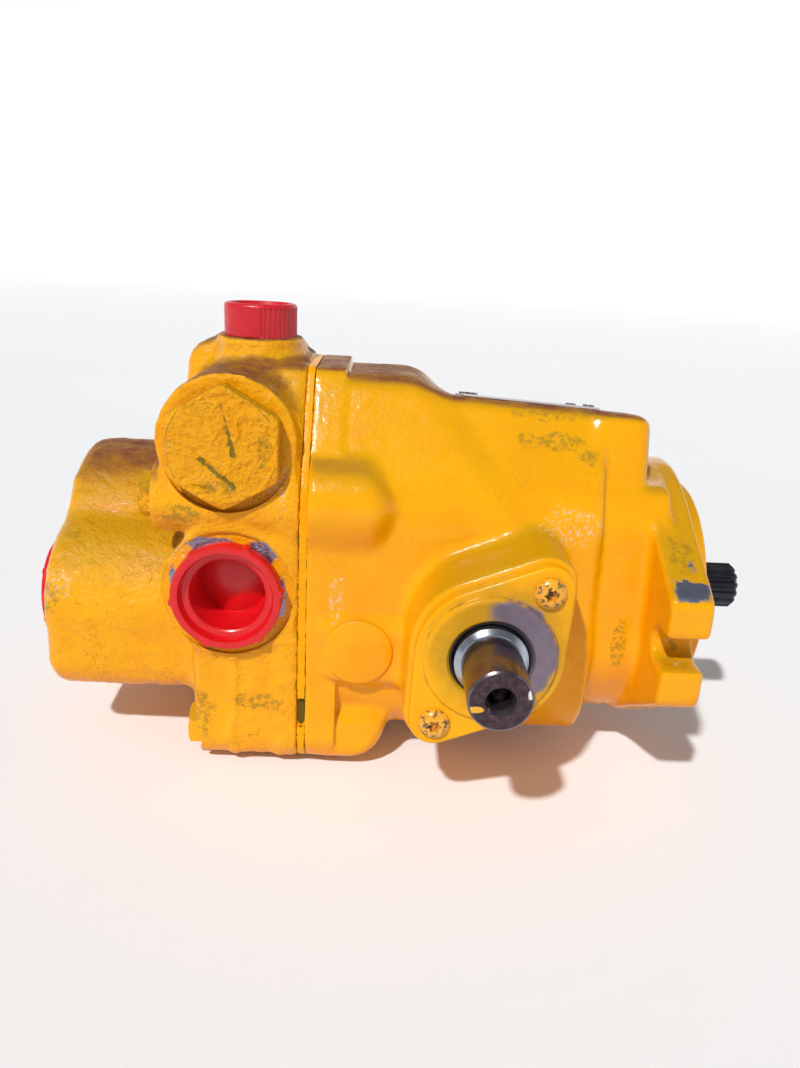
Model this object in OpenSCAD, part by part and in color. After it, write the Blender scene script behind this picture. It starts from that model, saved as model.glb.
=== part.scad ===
// Axial piston pump with a manually turned swashplate, a two-bolt mounting flange and a
// gerotor charge pump in the end cover.
// Origin: centre of the mounting flange's front face, on the shaft axis.
// +X runs out along the input shaft, -Y is the control shaft's side, +Z is up.

/* [Mounting flange] */
// Diameter of the pilot spigot
pilot_d = 101.6; // [101.2:0.1:102]
// Height of the pilot spigot in front of the flange face
pilot_h = 9.5; // [8:0.5:11]
// Radius of the round part of the flange
flange_r = 62; // [58:1:64]
// Thickness of the flange
flange_t = 18; // [14:1:20]
// Distance between the two bolt slots
bolt_span = 146; // [144:1:148]
// Width of the bolt slots
slot_w = 14.3; // [13:0.1:16]
// Width of the flange over its two ears
ear_span = 165.4; // [160:1:170]

/* [Housing] */
// Distance from the flange face to the housing's rear face
case_len = 165; // [164:1:166]
// Half width of the housing's side walls
case_w = 53.5; // [53:0.5:55]
// Half width of the raised top
top_w = 25; // [24:1:30]
// Height of the raised top above the shaft axis
top_z = 100; // [98:1:104]
// Height of the lower part of the top at its rear end
deck_z = 92; // [90:1:94]
// Depth of the housing's underside below the shaft axis
belly_z = 63; // [62:1:66]

/* [End cover] */
// Thickness of the sealing gasket
gasket_t = 3.5; // [3:0.5:3.5]
// Distance from the flange face to the end face of the pump
pump_len = 285; // [280:1:290]
// Half width of the cover's port block
cover_w = 52; // [50:1:54]
// Radius of the side port's spot face
port_spot_r = 29; // [27:0.5:30]
// Radius of the side port's thread
port_r = 20.2; // [18:0.2:21]
// Width across flats of the hexagon valve plugs
plug_af = 45; // [42:1:48]

/* [Control shaft] */
// Distance from the flange face to the swashplate's tilt axis
tilt_x = 89.4; // [89:0.1:90]
// Radius of the control shaft's outer end
control_r = 12.06; // [11:0.02:12.5]
// Distance from the shaft axis to the end of the control shaft
control_y = 125; // [118:1:130]
// Radius of the trunnion journals
journal_r = 14.6; // [14:0.1:15]

/* [Rotating group] */
// Pitch radius of the cylinder bores
bore_pitch_r = 31.5; // [31:0.1:32]
// Radius of the pistons
piston_r = 8.6; // [8:0.1:8.6]
// Radius of the piston balls
ball_r = 6.5; // [6:0.1:6.6]
// Largest tilt of the swashplate in degrees
max_tilt = 17; // [10:1:17]
// Teeth on the input shaft's spline
spline_teeth = 13; // [11:1:15]

/* [Hidden] */
$fn = 64;

// Colours
paint = [0.98, 0.66, 0.02];
steel = [0.55, 0.56, 0.58];
dark_steel = [0.25, 0.22, 0.26];
rubber = [0.06, 0.06, 0.07];
red_plastic = [0.9, 0.1, 0.12];
bronze = [0.72, 0.52, 0.28];

// Flange outline
pilot_r = pilot_d / 2;
ear_y = ear_span / 2;
ear_z = 23;
slot_r = slot_w / 2;
slot_y = bolt_span / 2;

// Lengthwise places, all measured along X from the flange face
rear_x = -case_len;
cover_x = rear_x - gasket_t;
band_x = rear_x + 14;
deck_x = -107;
neck_x = -39;
end_x = -pump_len;
block_x = -215.5;

// Cavity of the housing
cavity_r = 48;
cavity_front_x = -42;
yoke_gap_y = 51.2;

// Cover bolts: places across the pump, and sizes
bolt_y = 40;
upper_bolt_z = 46;
lower_bolt_z = -64.5;
bolt_r = 6;
bolt_af = 18;
bolt_head_h = 6.5;
upper_seat_x = -230.5;
lower_seat_x = -212.5;
bolt_tip_x = -136;
bolt_head_r = bolt_af / sqrt(3);
// Y, Z and the seat's X of each bolt. The far upper one is a long socket screw, sunk in
// the far lobe of the end block.
hex_bolts = [
    [-bolt_y, upper_bolt_z, upper_seat_x],
    [-bolt_y, lower_bolt_z, lower_seat_x],
    [bolt_y, lower_bolt_z, lower_seat_x]
];
socket_bolt = [41, 39.2, -272];
socket_head_r = 9;
socket_head_h = 12;
bolt_places = concat(hex_bolts, [socket_bolt]);

// Trunnion covers
boss_y = 86;
plate_y = 92;
disc_y = 94;
screw_x = 20.4;
screw_z = 29;
spigot_y = 80;
bearing_bore_r = 20;
seal_bore_r = 16.4;
seal_pocket_r = 17.6;

// Holes of the data plate, in the deck's frame
plate_hole_x = [10, 62];
plate_hole_y = [7, 43];

// Side ports and valve bosses in the end cover
port_x = -198.9;
port_z = 6.5;
near_valve = [-198.9, 71.6];
far_valve = [-201, 79];
valve_boss_r = 29.3;
valve_face_y = 51.4;
valve_bore_r = 17;
chamber_r = 9;
chamber_y = 12;
top_port_x = -192;
top_boss_z = 111;
suction = [-4, -13];
suction_spot = 2;

// Rear bearing and gerotor
rear_bore_r = 24;
bearing_x = -186;
gerotor_x = -190;
pocket_x = -204.2;
gerotor_e = 2;
gerotor_dir = -45;
gerotor_r = 21.5;
lobe_pitch = 17;
lobe_r = 5;
outer_lobes = 7;

// Rotating group. The slippers' pitch circle is larger than the bores' by half of
// what the circle loses in height at full tilt, so the error is shared.
pistons = 9;
first_angle = 15;
slipper_pitch_r = bore_pitch_r * (1 + (1 - cos(max_tilt)) / 2);
bore_r = piston_r + bore_pitch_r * (1 - cos(max_tilt)) / 2 + 0.08;
block_front_x = -107;
block_rear_x = -164.4;
block_r = 43.6;
shaft_r = 13;
valve_plate_t = 4;
sole_x = 9.5 - tilt_x;
guide_r = 17.5;

// ---- Helpers -------------------------------------------------------------------

module rod_x(x0, x1, r) {
    translate([x0, 0, 0])
        rotate([0, 90, 0])
            cylinder(h = x1 - x0, r = r);
}

module cone_x(x0, x1, r0, r1) {
    translate([x0, 0, 0])
        rotate([0, 90, 0])
            cylinder(h = x1 - x0, r1 = r0, r2 = r1);
}

module ring_x(x0, x1, r_out, r_in) {
    difference() {
        rod_x(x0, x1, r_out);
        rod_x(x0 - 1, x1 + 1, r_in);
    }
}

module rod_y(y0, y1, r) {
    translate([0, y0, 0])
        rotate([-90, 0, 0])
            cylinder(h = y1 - y0, r = r);
}

module cone_y(y0, y1, r0, r1) {
    translate([0, y0, 0])
        rotate([-90, 0, 0])
            cylinder(h = y1 - y0, r1 = r0, r2 = r1);
}

module ring_y(y0, y1, r_out, r_in) {
    difference() {
        rod_y(y0, y1, r_out);
        rod_y(y0 - 1, y1 + 1, r_in);
    }
}

module rod_z(z0, z1, r) {
    translate([0, 0, z0])
        cylinder(h = z1 - z0, r = r);
}

// A shape drawn in the Y-Z plane, pushed along X from x0 to x1
module slab_x(x0, x1) {
    translate([x0, 0, 0])
        rotate([90, 0, 90])
            linear_extrude(x1 - x0)
                children();
}

// A shape drawn in the X-Z plane, pushed along Y from y0 to y1
module slab_y(y0, y1) {
    translate([0, y1, 0])
        rotate([90, 0, 0])
            linear_extrude(y1 - y0)
                children();
}

module both_sides() {
    children();
    mirror([0, 1, 0])
        children();
}

// Axis of the swashplate's trunnions
module at_tilt() {
    translate([-tilt_x, 0, 0])
        children();
}

// A helical spring about the Y axis
module coil_y(y0, y1, coil_r, wire_r, turns) {
    sides = 8;
    steps = round(turns * 16);
    points = [
        for (i = [0:steps])
            let (a = 360 * turns * i / steps, y = y0 + (y1 - y0) * i / steps)
                for (k = [0:sides - 1])
                    let (b = 360 * k / sides, r = coil_r + wire_r * cos(b))
                        [r * cos(a), y + wire_r * sin(b), r * sin(a)]
    ];
    walls = [
        for (i = [0:steps - 1])
            for (k = [0:sides - 1])
                let (n = (k + 1) % sides)
                    [i * sides + k, (i + 1) * sides + k, (i + 1) * sides + n, i * sides + n]
    ];
    first = [for (k = [0:sides - 1]) k];
    last = [for (k = [sides - 1:-1:0]) steps * sides + k];
    polyhedron(points = points, faces = concat(walls, [first, last]), convexity = 8);
}

// ---- Housing and end cover -----------------------------------------------------

// Two-bolt flange outline: a disc with straight flanks running out to the ears
module flange_outline() {
    lean = 29.6;
    root_r = flange_r - 0.3;
    difference() {
        union() {
            circle(r = flange_r);
            for (s = [-1, 1])
                polygon([
                    [0, 0],
                    [s * root_r * sin(lean), root_r * cos(lean)],
                    [s * ear_y, ear_z],
                    [s * ear_y, -ear_z],
                    [s * root_r * sin(lean), -root_r * cos(lean)]
                ]);
        }
        for (s = [-1, 1]) {
            translate([s * slot_y, 0])
                circle(r = slot_r);
            translate([s * (slot_y + 20), 0])
                square([40, slot_w], center = true);
        }
    }
}

// A closed outline from its right half, given from top to bottom
module mirrored_outline(half) {
    n = len(half) - 1;
    polygon(concat(half, [for (i = [0:n]) [-half[n - i][0], half[n - i][1]]]));
}

// Cross-section of the housing between the rear band and the neck
module case_outline() {
    mirrored_outline([
        [top_w, top_z], [40, 76], [case_w, 50], [case_w, -30],
        [case_w - 7, -52], [case_w - 19, -belly_z]
    ]);
}

// Cross-section of the joint band, shared by the housing, the gasket and the cover
module band_outline(shrink = 0) {
    w = case_w + 1.5 - shrink;
    mirrored_outline([
        [top_w, top_z + 1 - shrink], [41.5, 76], [w, 50], [w, -67],
        [w - 7, shrink - 76]
    ]);
}

// Side view of the housing: raised top at the rear, sloping deck, rounded front end
module case_side() {
    polygon([
        [rear_x, top_z + 1], [deck_x - 12, top_z + 1], [deck_x - 7, top_z - 3],
        [deck_x, deck_z], [neck_x - 6, deck_z], [neck_x, deck_z - 10],
        [neck_x, -58], [band_x, -belly_z], [rear_x, -belly_z]
    ]);
}

// Oval two-screw outline shared by the trunnion boss and its cover plate
module trunnion_outline(round_r, lobe_r) {
    hull() {
        circle(r = round_r);
        for (s = [-1, 1])
            translate([s * screw_x, s * screw_z])
                circle(r = lobe_r);
    }
}

module upper_bolt_boss() {
    translate([0, -bolt_y, upper_bolt_z]) {
        rod_x(rear_x, -135, 20.5);
        cone_x(-135, -110, 20.5, 8);
    }
}

// Foot around the lower bolt's thread, with a sloping front
module lower_bolt_foot() {
    slab_y(-52.5, -27)
        polygon([[rear_x, -50], [-126, -50], [-126, -66], [-137, -75.8], [rear_x, -75.8]]);
}

module housing_body() {
    intersection() {
        slab_x(rear_x, neck_x)
            case_outline();
        slab_y(-80, 80)
            case_side();
    }
    slab_x(rear_x, band_x)
        band_outline();
    both_sides() {
        upper_bolt_boss();
        lower_bolt_foot();
        at_tilt()
            slab_y(-boss_y, -case_w + 12)
                trunnion_outline(32, 12.5);
    }
    // Pad that carries the core plug
    translate([-158, -58, -33])
        cube([46, 20, 30]);
    // Neck between the case and the flange, with a raised block on top
    slab_x(neck_x - 1, -flange_t + 1)
        mirrored_outline([
            [30, 61], [40, 61], [49, 44], [52, 20], [52, -24], [36, -50], [20, -58]
        ]);
    slab_x(neck_x - 1, -19.5)
        mirrored_outline([[32, deck_z], [42, 60]]);
    slab_x(-flange_t, 0)
        flange_outline();
    rod_x(-1, pilot_h - 1, pilot_r);
    cone_x(pilot_h - 1, pilot_h, pilot_r, pilot_r - 1);
}

// Frame of the sloping deck: X along the pump, Y across it, Z out of it
module deck_frame() {
    translate([deck_x, -top_w, deck_z])
        rotate([-8.5, 0, 0])
            rotate([0, 3.2, 0])
                children();
}

module housing() {
    color(paint)
        difference() {
            housing_body();
            // Sloping deck and neck top
            deck_frame()
                translate([0, -40, 0])
                    cube([100, 140, 30]);
            // Room for the rotating group and the swashplate
            rod_x(rear_x - 1, cavity_front_x, cavity_r);
            translate([-128, -27, 0])
                cube([76, 54, 76]);
            translate([-tilt_x - 26, -yoke_gap_y, -27])
                cube([64, 2 * yoke_gap_y, 54]);
            // Trunnion bores
            at_tilt()
                rod_y(-boss_y - 1, boss_y + 1, bearing_bore_r);
            // Front bearing, shaft hole and shaft seal bores
            rod_x(cavity_front_x - 1, -9, 36);
            rod_x(-10, 0, 30);
            rod_x(-2, pilot_h + 1, 24);
            rod_x(4, 5.4, 25.2);
            // Threads of the cover bolts
            for (p = bolt_places)
                translate([0, p[0], p[1]])
                    rod_x(rear_x - 1, bolt_tip_x + 3, bolt_r);
            // Threads of the trunnion cover screws
            for (side = [-1, 1], s = [-1, 1])
                translate([s * screw_x - tilt_x, 0, s * screw_z])
                    rod_y(side > 0 ? 72 : -boss_y - 1, side > 0 ? boss_y + 1 : -72, 3);
            // Holes of the data plate's drive screws
            deck_frame()
                for (x = plate_hole_x, y = plate_hole_y)
                    translate([x, y, 0])
                        rod_z(-6.5, 1, 1.5);
            // Core plug hole
            translate([-142, 0, -16])
                rod_y(-59, -40, 10);
        }
}

// Cross-section of the end block: a low near lobe and a high far lobe
module end_block_outline() {
    corner_r = 10;
    bottom_z = -50;
    translate([-5, -14])
        circle(r = 38);
    intersection() {
        translate([42, -6])
            circle(r = 58.5);
        translate([-14, -30])
            square([14 + cover_w, 84]);
    }
    translate([-43, bottom_z + corner_r])
        square([43 + cover_w, 26]);
    translate([corner_r - 43, bottom_z])
        square([43 + cover_w - 2 * corner_r, 20]);
    for (y = [corner_r - 43, cover_w - corner_r])
        translate([y, bottom_z + corner_r])
            circle(r = corner_r);
}

// Round-cornered block around the far valve
module far_valve_block() {
    corner_r = 12;
    low = [-227, 50];
    high = [-172, 108];
    slab_y(6, valve_face_y) {
        for (x = [low[0] + corner_r, high[0] - corner_r], z = [low[1] + corner_r, high[1] - corner_r])
            translate([x, z])
                circle(r = corner_r);
        translate([low[0] + corner_r, low[1]])
            square([high[0] - low[0] - 2 * corner_r, high[1] - low[1]]);
        translate([low[0], low[1] + corner_r])
            square([high[0] - low[0], high[1] - low[1] - 2 * corner_r]);
    }
}

module end_cover_body() {
    // Joint flange and port block
    slab_x(block_x, cover_x)
        intersection() {
            band_outline();
            translate([-cover_w, -76])
                square([2 * cover_w, 128]);
        }
    slab_x(-200, cover_x)
        intersection() {
            band_outline();
            translate([-44, 40])
                square([88, 60]);
        }
    // Upper bolt pillars
    both_sides()
        translate([0, -bolt_y, upper_bolt_z])
            rod_x(upper_seat_x, cover_x, 15.5);
    // Side port bosses
    translate([port_x, 0, port_z])
        rod_y(-cover_w, cover_w, port_spot_r);
    // Valve bosses
    translate([near_valve[0], 0, near_valve[1]])
        rod_y(-valve_face_y, 10, valve_boss_r);
    far_valve_block();
    // Top port boss
    translate([top_port_x, 0, 0])
        rod_z(60, top_boss_z, 19);
    // End block
    slab_x(end_x, block_x + 1)
        end_block_outline();
}

module valve_bores() {
    // Spot face that clears the hexagon from the bolt pillar
    rod_y(-valve_face_y - 12, -valve_face_y, plug_af / sqrt(3) + 2);
    rod_y(-valve_face_y - 1, -34, valve_bore_r);
    rod_y(-36, -chamber_y, chamber_r);
    translate([0, -28, 0])
        rod_z(-60, 0, 4.5);
}

// Kidney-shaped passage from the valve plate to a side port
module kidney(x0, x1) {
    slab_x(x0, x1)
        intersection() {
            difference() {
                circle(r = bore_pitch_r + 4.5);
                circle(r = bore_pitch_r - 4.5);
            }
            polygon([[0, 0], [-60, 50], [-60, -50]]);
        }
}

module end_cover() {
    color(paint)
        difference() {
            end_cover_body();
            // Rear bearing bore, gerotor pocket and suction port
            rod_x(gerotor_x, cover_x + 1, rear_bore_r);
            translate([0, gerotor_e * cos(gerotor_dir), gerotor_e * sin(gerotor_dir)])
                rod_x(pocket_x, gerotor_x + 1, gerotor_r + 0.06);
            translate([0, suction[0], suction[1]]) {
                rod_x(end_x - 1, end_x + suction_spot, 26);
                rod_x(end_x - 1, end_x + 20, port_r);
                rod_x(end_x + 19, -222, 14);
                rod_x(-223, pocket_x + 1, 6);
            }
            both_sides() {
                kidney(-206, cover_x + 1);
                translate([port_x, 0, port_z])
                    rod_y(-cover_w - 1, -32, port_r);
            }
            translate([near_valve[0], 0, near_valve[1]])
                valve_bores();
            translate([far_valve[0], 0, far_valve[1]])
                mirror([0, 1, 0])
                    valve_bores();
            // Top port and its drilling down to the gerotor pocket
            translate([top_port_x, 0, 0]) {
                rod_z(96, top_boss_z + 1, 12.5);
                rod_z(23, 97, 3.5);
            }
            // Bolt holes, with a spot face or a counterbore for each head
            for (p = bolt_places)
                translate([0, p[0], p[1]])
                    rod_x(p[2] - 1, cover_x + 1, bolt_r + 0.4);
            for (p = hex_bolts)
                translate([0, p[0], p[1]])
                    rod_x(p[2] - 10, p[2], bolt_head_r + 1.6);
            translate([0, socket_bolt[0], socket_bolt[1]])
                rod_x(end_x - 1, socket_bolt[2], socket_head_r + 0.6);
        }
}

module cover_gasket() {
    color(rubber)
        slab_x(cover_x, rear_x)
            difference() {
                band_outline(shrink = 0.5);
                circle(r = 48.2);
                for (p = bolt_places)
                    translate([p[0], p[1]])
                        circle(r = bolt_r + 0.4);
            }
}

module cover_bolts() {
    color(paint) {
        for (p = hex_bolts)
            translate([0, p[0], p[1]]) {
                rod_x(p[2], bolt_tip_x, bolt_r - 0.02);
                translate([p[2] - bolt_head_h, 0, 0])
                    rotate([0, 90, 0])
                        cylinder(h = bolt_head_h, r = bolt_head_r, $fn = 6);
            }
        translate([socket_bolt[2], socket_bolt[0], socket_bolt[1]])
            socket_screw();
    }
}

// Long socket screw with its seat at X = 0
module socket_screw() {
    rod_x(0, bolt_tip_x - socket_bolt[2], bolt_r - 0.02);
    difference() {
        rod_x(-socket_head_h, 0, socket_head_r);
        translate([-socket_head_h - 1, 0, 0])
            rotate([0, 90, 0])
                cylinder(h = 7, r = 5.8, $fn = 6);
    }
}

// ---- Trunnion covers -----------------------------------------------------------

module trunnion_plate() {
    slab_y(-plate_y, -boss_y)
        trunnion_outline(30, 10.5);
    rod_y(-disc_y, -boss_y, 26.1);
    rod_y(-boss_y - 1, -spigot_y, bearing_bore_r - 0.03);
}

module trunnion_cover() {
    color(paint)
        at_tilt()
            difference() {
                trunnion_plate();
                rod_y(-disc_y - 1, -spigot_y + 1, seal_bore_r);
                rod_y(-89, -spigot_y + 1, seal_pocket_r);
                oring_groove();
                for (s = [-1, 1])
                    translate([s * screw_x, 0, s * screw_z])
                        rod_y(-disc_y - 1, -boss_y + 1, 3.3);
            }
}

module oring_groove() {
    ring_y(-84.5, -81.9, bearing_bore_r + 1, 18.8);
}

// The far side has a closed cover of the same outline
module blind_trunnion_cover() {
    color(paint)
        mirror([0, 1, 0])
            at_tilt()
                difference() {
                    trunnion_plate();
                    rod_y(-88, -spigot_y + 1, 15);
                    oring_groove();
                    for (s = [-1, 1])
                        translate([s * screw_x, 0, s * screw_z])
                            rod_y(-disc_y - 1, -boss_y + 1, 3.3);
                }
}

module trunnion_screws() {
    color(paint)
        both_sides()
            at_tilt()
                for (s = [-1, 1])
                    translate([s * screw_x, 0, s * screw_z])
                        difference() {
                            union() {
                                rod_y(-plate_y - 1, -73, 2.98);
                                rod_y(-plate_y - 1.6, -plate_y, 6.3);
                                cone_y(-plate_y - 3.6, -plate_y - 1.6, 4.2, 6.3);
                            }
                            rod_y(-plate_y - 5, -plate_y - 1.4, 2.6);
                        }
}

module trunnion_orings() {
    color(rubber)
        both_sides()
            at_tilt()
                rotate([90, 0, 0])
                    rotate_extrude()
                        translate([19.4, 83.2])
                            circle(r = 0.58);
}

module trunnion_seal() {
    color(rubber)
        at_tilt()
            difference() {
                union() {
                    rod_y(-88.9, -spigot_y, seal_pocket_r);
                    rod_y(-93.4, -88.8, seal_bore_r);
                }
                rod_y(-95, -spigot_y + 1, journal_r + 0.06);
            }
}

module trunnion_bearings() {
    color(steel)
        both_sides()
            at_tilt()
                ring_y(-76, -56, bearing_bore_r, journal_r + 0.06);
}

// ---- Front end -----------------------------------------------------------------

module shaft_seal() {
    color(rubber)
        difference() {
            rod_x(-1.9, 3.8, 24);
            rod_x(-3, 5, 15.08);
            ring_x(-3, 1.5, 20.5, 17.4);
        }
}

module seal_ring() {
    color(dark_steel)
        difference() {
            ring_x(4.1, 5.3, 25.1, 21.5);
            translate([4, -4, -27])
                cube([2, 8, 7]);
        }
}

module front_bearing_outer() {
    color(steel)
        difference() {
            ring_x(-26, -9, 36, 30.2);
            ball_track();
        }
}

module front_bearing_inner() {
    color(steel)
        difference() {
            ring_x(-26, -9, 23.3, 17.5);
            ball_track();
        }
}

module ball_track() {
    translate([-17.5, 0, 0])
        rotate([0, 90, 0])
            rotate_extrude()
                translate([26.75, 0])
                    circle(r = 5.66);
}

// Balls and the two-piece cage that carries them
module front_bearing_balls() {
    balls = 9;
    color(steel)
        for (i = [0:balls - 1])
            rotate([i * 360 / balls, 0, 0])
                translate([-17.5, 26.75, 0])
                    sphere(r = 5.55);
    color(bronze)
        difference() {
            ring_x(-22.5, -12.5, 28.2, 25.3);
            for (i = [0:balls - 1])
                rotate([i * 360 / balls, 0, 0])
                    translate([-17.5, 26.75, 0])
                        sphere(r = 5.62);
        }
}

module input_shaft() {
    color(dark_steel)
        difference() {
            union() {
                splined_end();
                rod_x(-9.5, 8, 15);
                rod_x(-26, -9, 17.5);
                rod_x(-31, -26, 21);
                rod_x(-171, -31, shaft_r);
                rod_x(-186, -170, 12.5);
                rod_x(-203, -185, 7);
            }
            rod_x(28, 42, 3);
        }
}

// External spline: teeth with sloping flanks, rounded over at the very end
module splined_end() {
    tip_r = 10.9;
    root_r = 9.7;
    pitch = 360 / spline_teeth;
    outline = [
        for (i = [0:spline_teeth - 1])
            for (p = [[-0.34, root_r], [-0.17, tip_r], [0.17, tip_r], [0.34, root_r]])
                let (a = (i + p[0]) * pitch)
                    [p[1] * cos(a), p[1] * sin(a)]
    ];
    intersection() {
        slab_x(7, 41)
            polygon(outline);
        union() {
            rod_x(6, 39.6, 11.5);
            cone_x(39.6, 41, 11.5, 9.6);
        }
    }
}

// ---- Rotating group ------------------------------------------------------------

module cylinder_block() {
    color(steel)
        difference() {
            rod_x(block_rear_x, block_front_x, block_r);
            rod_x(block_rear_x - 1, block_front_x + 1, shaft_r);
            rod_x(block_rear_x - 1, -125, 18.5);
            rod_x(block_front_x - 4, block_front_x + 1, 18);
            for (i = [0:pistons - 1])
                rotate([first_angle + i * 360 / pistons, 0, 0])
                    translate([0, bore_pitch_r, 0]) {
                        rod_x(-161.6, block_front_x + 1, bore_r);
                        rod_x(block_rear_x - 1, -161, 4.5);
                    }
            for (i = [0:2])
                rotate([20 + i * 120, 0, 0])
                    translate([0, 15.6, 0])
                        rod_x(-126, block_front_x, 1.7);
        }
}

module block_spring() {
    color(steel)
        rotate([0, 0, 90])
            coil_y(128.7, 155.3, 16, 1.6, 5);
}

module spring_washers() {
    color(steel) {
        ring_x(-127, -125, 18.4, 13.1);
        ring_x(-159, -157, 18.4, 13.1);
        ring_x(-160.4, -159, 18.45, 14.5);
    }
}

module hold_down_pins() {
    color(steel)
        for (i = [0:2])
            rotate([20 + i * 120, 0, 0])
                translate([0, 15.6, 0])
                    rod_x(-125, -104.5, 1.6);
}

// Spherical guide that presses the slipper retainer on to the swashplate
module ball_guide() {
    color(steel)
        difference() {
            union() {
                at_tilt()
                    intersection() {
                        sphere(r = guide_r);
                        rod_x(-10, 9, guide_r + 1);
                    }
                rod_x(-104.5, -96, 17.2);
            }
            rod_x(-106, -75, shaft_r);
        }
}

module slipper_retainer() {
    color(bronze)
        difference() {
            rod_x(2 - tilt_x, 5.9 - tilt_x, 43);
            at_tilt()
                sphere(r = guide_r + 0.1);
            for (i = [0:pistons - 1])
                rotate([first_angle + i * 360 / pistons, 0, 0])
                    translate([0, slipper_pitch_r, 0])
                        rod_x(-tilt_x, 7 - tilt_x, 8.6);
        }
}

module slipper(i) {
    color(bronze)
        rotate([first_angle + (i - 1) * 360 / pistons, 0, 0])
            translate([-tilt_x, slipper_pitch_r, 0])
                difference() {
                    union() {
                        rod_x(6, 9.45, 10.5);
                        rod_x(-3, 6.1, 8.2);
                    }
                    sphere(r = ball_r + 0.06);
                    rod_x(0, 12, 1);
                    rod_x(8.9, 12, 6);
                }
}

module piston(i) {
    color(steel)
        rotate([first_angle + (i - 1) * 360 / pistons, 0, 0])
            translate([-tilt_x, slipper_pitch_r, 0])
                difference() {
                    union() {
                        sphere(r = ball_r);
                        rod_x(-9, 0, 4.2);
                        cone_x(-10, -7.6, piston_r, 4.2);
                        rod_x(-61.6, -10, piston_r);
                    }
                    rod_x(-64, -26, 5.2);
                    rod_x(-27, 8, 0.9);
                }
}

module valve_plate() {
    color(bronze)
        difference() {
            ring_x(cover_x, cover_x + valve_plate_t, 42, 17);
            both_sides()
                kidney(cover_x - 1, cover_x + valve_plate_t + 1);
        }
}

// ---- Swashplate ----------------------------------------------------------------

module swashplate() {
    color(steel)
        difference() {
            union() {
                rod_x(sole_x, -74.4, 43.4);
                cone_x(-74.4, -60, 43.4, 34);
                translate([sole_x, -45, -16])
                    cube([19.9, 90, 32]);
                both_sides()
                    swash_cheek();
            }
            // Clearance for the shaft at full tilt
            rod_x(sole_x - 1, -71, 19.5);
            for (z = [-6, 6])
                translate([0, 0, z])
                    rod_x(-72, -55, 19.5);
            translate([-72, -19.5, -6])
                cube([20, 39, 12]);
            at_tilt()
                both_sides()
                    rod_y(-60, -43, journal_r - 1.6);
        }
}

// Side cheek that carries a trunnion
module swash_cheek() {
    translate([0, -50.6, 0]) {
        at_tilt()
            rod_y(0, 6.4, 18);
        translate([-tilt_x, 0, -16])
            cube([29.4, 6.4, 32]);
    }
}

module control_shaft() {
    shoulder_y = 97;
    color(dark_steel)
        at_tilt()
            difference() {
                union() {
                    rod_y(-52, -44, journal_r - 1.6);
                    rod_y(2 - shoulder_y, -51, journal_r);
                    cone_y(-shoulder_y, 2 - shoulder_y, journal_r - 2, journal_r);
                    rod_y(1 - control_y, -shoulder_y, control_r);
                    cone_y(-control_y, 1 - control_y, control_r - 1, control_r);
                }
                // Tapped centre hole with its countersink
                rod_y(-control_y - 1, -100, 4.4);
                cone_y(-control_y, 2.4 - control_y, 5.6, 4.4);
                // Keyway on the side away from the flange
                translate([-control_r - 3, -112, -9.5])
                    rotate([0, -30, 0])
                        cube([6, 15, 5]);
            }
}

module trunnion_stub() {
    color(steel)
        mirror([0, 1, 0])
            at_tilt() {
                rod_y(-52, -44, journal_r - 1.6);
                rod_y(-78, -51, journal_r);
            }
}

// ---- Charge pump ---------------------------------------------------------------

// Point on the inner rotor: the path of an outer lobe's centre, less the lobe's radius
function gerotor_point(t, shrink) =
    let (
        k = outer_lobes,
        e = gerotor_e,
        p = [lobe_pitch * cos(t) + e * cos(k * t), lobe_pitch * sin(t) + e * sin(k * t)],
        d = [-lobe_pitch * sin(t) - e * k * sin(k * t), lobe_pitch * cos(t) + e * k * cos(k * t)],
        n = [d[1], -d[0]] / norm(d)
    )
    p - n * (lobe_r + shrink);

module gerotor_inner() {
    // Points lie closer together where the rotor curves inwards
    steps = 168;
    crowding = 8.6;
    color(steel)
        rotate([gerotor_dir, 0, 0])
            difference() {
                slab_x(pocket_x + 0.2, gerotor_x - 0.1)
                    polygon([
                        for (i = [0:steps - 1])
                            let (t = i * 360 / steps)
                                gerotor_point(t + crowding * sin((outer_lobes - 1) * t), 0.08)
                    ]);
                rod_x(-210, -180, 7);
            }
}

module gerotor_outer() {
    root_r = lobe_pitch - lobe_r + 2 * gerotor_e + 0.1;
    color(steel)
        rotate([gerotor_dir, 0, 0])
            translate([0, gerotor_e, 0])
                difference() {
                    rod_x(pocket_x + 0.2, gerotor_x - 0.1, gerotor_r);
                    difference() {
                        rod_x(pocket_x - 1, gerotor_x + 1, root_r);
                        for (i = [0:outer_lobes - 1])
                            rotate([i * 360 / outer_lobes, 0, 0])
                                translate([0, lobe_pitch, 0])
                                    rod_x(pocket_x - 2, gerotor_x + 2, lobe_r);
                    }
                }
}

module charge_plate() {
    color(bronze)
        ring_x(gerotor_x, bearing_x, rear_bore_r, 9);
}

module rear_bearing_outer() {
    color(steel)
        ring_x(bearing_x, -171, rear_bore_r, 21.8);
}

module rear_bearing_inner() {
    color(steel)
        ring_x(bearing_x, -171, 15, 12.5);
}

module rear_bearing_rollers() {
    rollers = 12;
    color(steel)
        for (i = [0:rollers - 1])
            rotate([i * 360 / rollers, 0, 0])
                translate([0, 18.4, 0])
                    rod_x(-184, -173, 3.3);
    color(bronze)
        difference() {
            ring_x(-185.5, -171.5, 19.8, 17);
            for (i = [0:rollers - 1])
                rotate([i * 360 / rollers, 0, 0])
                    translate([0, 18.4, 0])
                        rod_x(-184.1, -172.9, 3.36);
        }
}

// ---- Relief valves -------------------------------------------------------------

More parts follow.
